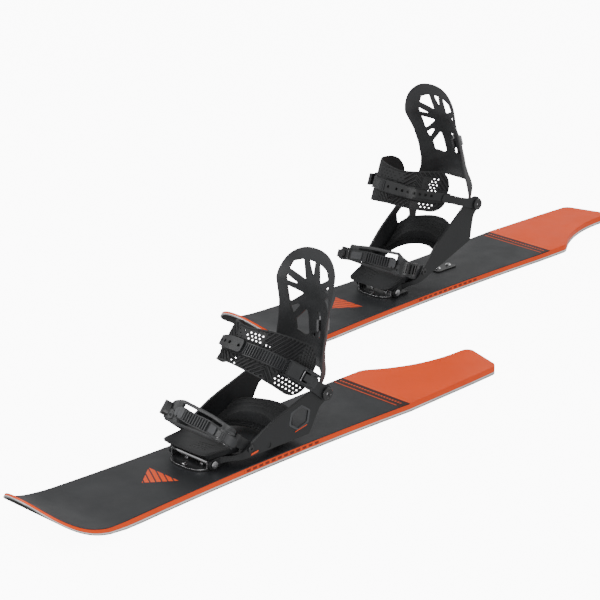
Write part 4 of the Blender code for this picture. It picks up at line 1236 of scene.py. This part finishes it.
def build_toe_strap(side):
    arch = TOE_ARCH

    def profile(degrees):
        near, far = cap_edges(degrees)
        left = min((degrees + 62) / 10, 1.0)
        right = min((62 - degrees) / 10, 1.0)
        rounding = 0.55 + 0.45 * sqrt(max(1 - (1 - min(left, right)) ** 2, 0.0))
        middle = (near + far) / 2
        near, far = middle + (near - middle) * rounding, middle + (far - middle) * rounding
        ring = []
        for i in range(25):
            across = near + (far - near) * i / 24
            edge = min(across - near, far - across)
            roll = 0.0012 * (1 - smooth_step(edge, 0.0, 0.0022))
            ring.append((0.0004 - roll, across))
        ring += [(-0.0038, far), (-0.0040, middle), (-0.0038, near)]
        return ring

    cap = ribbon(arch, angles(-62, 62, 1.55), profile)
    opening = plate(arch, -31, 29, (-0.012, 0.012),
                    lambda d: (-0.0105 + 0.0050 * smooth_step(-d, 20, 31), cap_edges(d)[1] - 0.0050), 1.0)
    cap = combine(cap, opening)
    grooves = []
    for sign in (-1, 1):
        for k in range(3):
            first = sign * (36 + 6.5 * k)
            grooves.append(plate(arch, min(first, first + sign * 2.2), max(first, first + sign * 2.2),
                                 (-0.0006, 0.004), (-0.0105, 0.0060), 1.1))
    cap = combine(cap, merged(*grooves))
    piece(side, "toe_cap_look", cap, "toe", "rail", ["toe_cap"],
          bevel=0.0005, segments=2, angle=38)
    # Ladder: it lies between the rails at the crest and climbs to the buckle
    ladder = toothed(arch, -34, 58, (-0.0093, 0.0093), 0.0014, (-13.0, 6.5, 10), -0.0012, 0.0004, 0.0028,
                     0.009, toe_drift, toe_lift)
    tip_hole = (arch, -25.0, -0.0030, 0.0018, -0.010, 0.014)
    piece(side, "toe_ladder_look", combine(ladder, drill(*tip_hole)), "toe", "ladder",
          ["toe_ladder"], bevel=0.00025, segments=1)
    tip = plate(arch, -33.4, -14.6, lifted(0.0010, 0.0024),
                drifting(-0.0080, 0.0080), 1.0, (0.008, 0.002))
    tip = combine(tip, drill(*tip_hole))
    piece(side, "toe_ladder_tip", tip, "toe", "tip", bevel=0.0003)
    smooth = plate(arch, 10.6, 28.6, lifted(0.0012, 0.0034),
                   drifting(-0.0062, 0.0062), 1.2, (0.0015, 0.0015))
    piece(side, "toe_ladder_plate", smooth, "toe", "tip", bevel=0.0005, segments=2)

    def strap_edges(degrees):
        lean = -0.0045 * smooth_step(-degrees, 50, 84)
        return -0.0105 + lean, 0.0042 + lean

    strap = plate(arch, -90, -36, (0.0006, 0.0030), strap_edges, 2.0, (0.0, 0.004))
    strap = eyelet(arch, strap, -1, (0.0006, 0.0030), 0.0092, 0.0025)
    holes = [drill(arch, degrees, -0.0046, 0.0018, -0.004, 0.008) for degrees in (-40.0, -49.0)]
    holes += [drill(arch, degrees, across, 0.0020, -0.004, 0.008, 4) for degrees, across in
              ((-58.0, -0.0060), (-66.0, -0.0072))]
    strap = combine(strap, merged(*holes))
    piece(side, "toe_strap_inner", strap, "toe", "rail", ["toe_arm_inner"],
          bevel=0.0005, segments=2)
    # Slotted stop block at the strap's inner end
    block = plate(arch, -78, -44, (0.0034, 0.0110), (-0.0085, 0.0130), 1.6, (0.003, 0.004))
    slots = [plate(arch, first, first + 3.4, (0.0070, 0.016), (-0.0055, 0.0100), 1.5)
             for first in (-74, -67.5, -61, -54.5)]
    block = combine(block, merged(*slots))
    piece(side, "toe_stop_block", block, "toe", "coated",
          bevel=0.0007, segments=2)

    arm = plate(arch, 90, 62, ARM_LAYER, (-0.0085, 0.0085), 2.0)
    arm = eyelet(arch, arm, 1, ARM_LAYER, 0.0092, 0.0025)
    piece(side, "toe_arm_outer_look", arm, "toe", "strap", ["toe_arm_outer"],
          bevel=0.0006, segments=2)
    build_ratchet(side, "toe", arch, (32.0, 62.0), drifting(-0.0083, 0.0083), 0.0050,
                  0.0155, 50.0, 60.5)
    lever = plate(arch, 38.0, 61.0, (0.0164, 0.0196), drifting(-0.0064, 0.0064), 1.6,
                  (0.003, 0.004))
    ridges = [plate(arch, d, d + 1.1, (0.0190, 0.0203), drifting(-0.0052, 0.0052), 0.6)
              for d in (40.5, 43.0, 45.5)]
    lever = combine(lever, merged(*ridges), "UNION")
    knuckle = plate(arch, 48.5, 60.0, (0.0140, 0.0186), drifting(-0.0040, 0.0040), 1.2)
    lever = combine(lever, knuckle, "UNION")
    piece(side, "toe_lever_look", lever, "toe_catch", "ratchet",
          ["toe_lever"], bevel=0.0007, segments=2)
    tongue = plate(arch, 43.0, 56.0, (0.0060, 0.0140), drifting(0.0088, 0.0128), 1.0,
                   (0.003, 0.005))
    piece(side, "toe_ratchet_tongue", tongue, "toe", "ratchet",
          bevel=0.0008, segments=3)


# ---------------------------------------------------------------- camera, light and floor
VIEW_TARGET = (-0.24187, 0.11912, 0.0)
VIEW_DISTANCE = 4.27794
VIEW_TURN = 45.70717
VIEW_HEIGHT = 20.62147
VIEW_ROLL = -0.47943
VIEW_LENS = 151.197


def build_stage():
    """The photo's viewing angle, a pale floor that shines evenly, and three soft lamps."""
    camera = bpy.data.cameras.new("camera")
    camera.lens = VIEW_LENS
    camera.sensor_width = 36.0
    camera.clip_start, camera.clip_end = 0.1, 50.0
    azimuth, elevation, roll = (radians(v) for v in (VIEW_TURN, VIEW_HEIGHT, VIEW_ROLL))
    back = Vector((sin(azimuth) * cos(elevation), -cos(azimuth) * cos(elevation), sin(elevation)))
    right = Vector((cos(azimuth), sin(azimuth), 0.0))
    up = back.cross(right)
    x_axis = right * cos(roll) + up * sin(roll)
    y_axis = up * cos(roll) - right * sin(roll)
    turn = Matrix((x_axis, y_axis, back)).transposed().to_4x4()
    view = bpy.data.objects.new("camera", camera)
    view.matrix_world = Matrix.Translation(Vector(VIEW_TARGET) + back * VIEW_DISTANCE) @ turn
    bpy.context.scene.collection.objects.link(view)
    bpy.context.scene.camera = view

    shader = Shader("pale_floor", (0.86, 0.86, 0.86), 0.9, specular=0.1)
    shader.out.inputs["Emission Color"].default_value = (1.0, 1.0, 1.0, 1.0)
    shader.out.inputs["Emission Strength"].default_value = 10.0
    shade = shader.spread(shader.noise(3.0, 2.0), 0.0, 1.0)
    shader.colour(shader.mix(shade, (0.85, 0.85, 0.85), (0.87, 0.87, 0.87)))
    bm = bmesh.new()
    bmesh.ops.create_grid(bm, x_segments=1, y_segments=1, size=30.0)
    mesh = bpy.data.meshes.new("floor")
    bm.to_mesh(mesh)
    bm.free()
    floor = bpy.data.objects.new("floor", mesh)
    floor.location.z = -0.0004
    mesh.materials.append(shader.material)
    bpy.context.scene.collection.objects.link(floor)
    floor.visible_diffuse = False
    floor.visible_glossy = False

    world = bpy.data.worlds.new("studio")
    world.use_nodes = True
    world.node_tree.nodes["Background"].inputs[0].default_value = (1.0, 1.0, 1.0, 1.0)
    world.node_tree.nodes["Background"].inputs[1].default_value = 0.62
    bpy.context.scene.world = world
    lamps = (("key", (-1.6, -1.8, 2.6), 1.6, 42.0), ("fill", (1.9, -2.7, 0.8), 2.0, 48.0),
             ("rear", (0.6, 2.6, 2.2), 1.8, 30.0))
    for name, place, size, power in lamps:
        lamp = bpy.data.lights.new(name, "AREA")
        lamp.size = size
        lamp.energy = power
        item = bpy.data.objects.new(name, lamp)
        item.location = place
        item.rotation_mode = "QUATERNION"
        item.rotation_quaternion = (Vector(place) - Vector((0, 0, 0.1))).to_track_quat("Z", "Y")
        bpy.context.scene.collection.objects.link(item)


# ---------------------------------------------------------------- assembly
build_stage()
for item_side in SIDES:
    build_ski(item_side)
    build_bracket(item_side)
    build_heel_rest(item_side)
    build_chassis(item_side)
    build_ramp(item_side)
    build_heel_pad(item_side)
    build_bolts(item_side)
    build_highback(item_side)
    build_ankle_strap(item_side)
    build_toe_strap(item_side)

for node_name, node in NODES.items():
    if not node.hide_render:
        node.data.materials.clear()
        node.data.materials.append(FINISH["alloy" if node_name.endswith("lean_block") else "strap"])
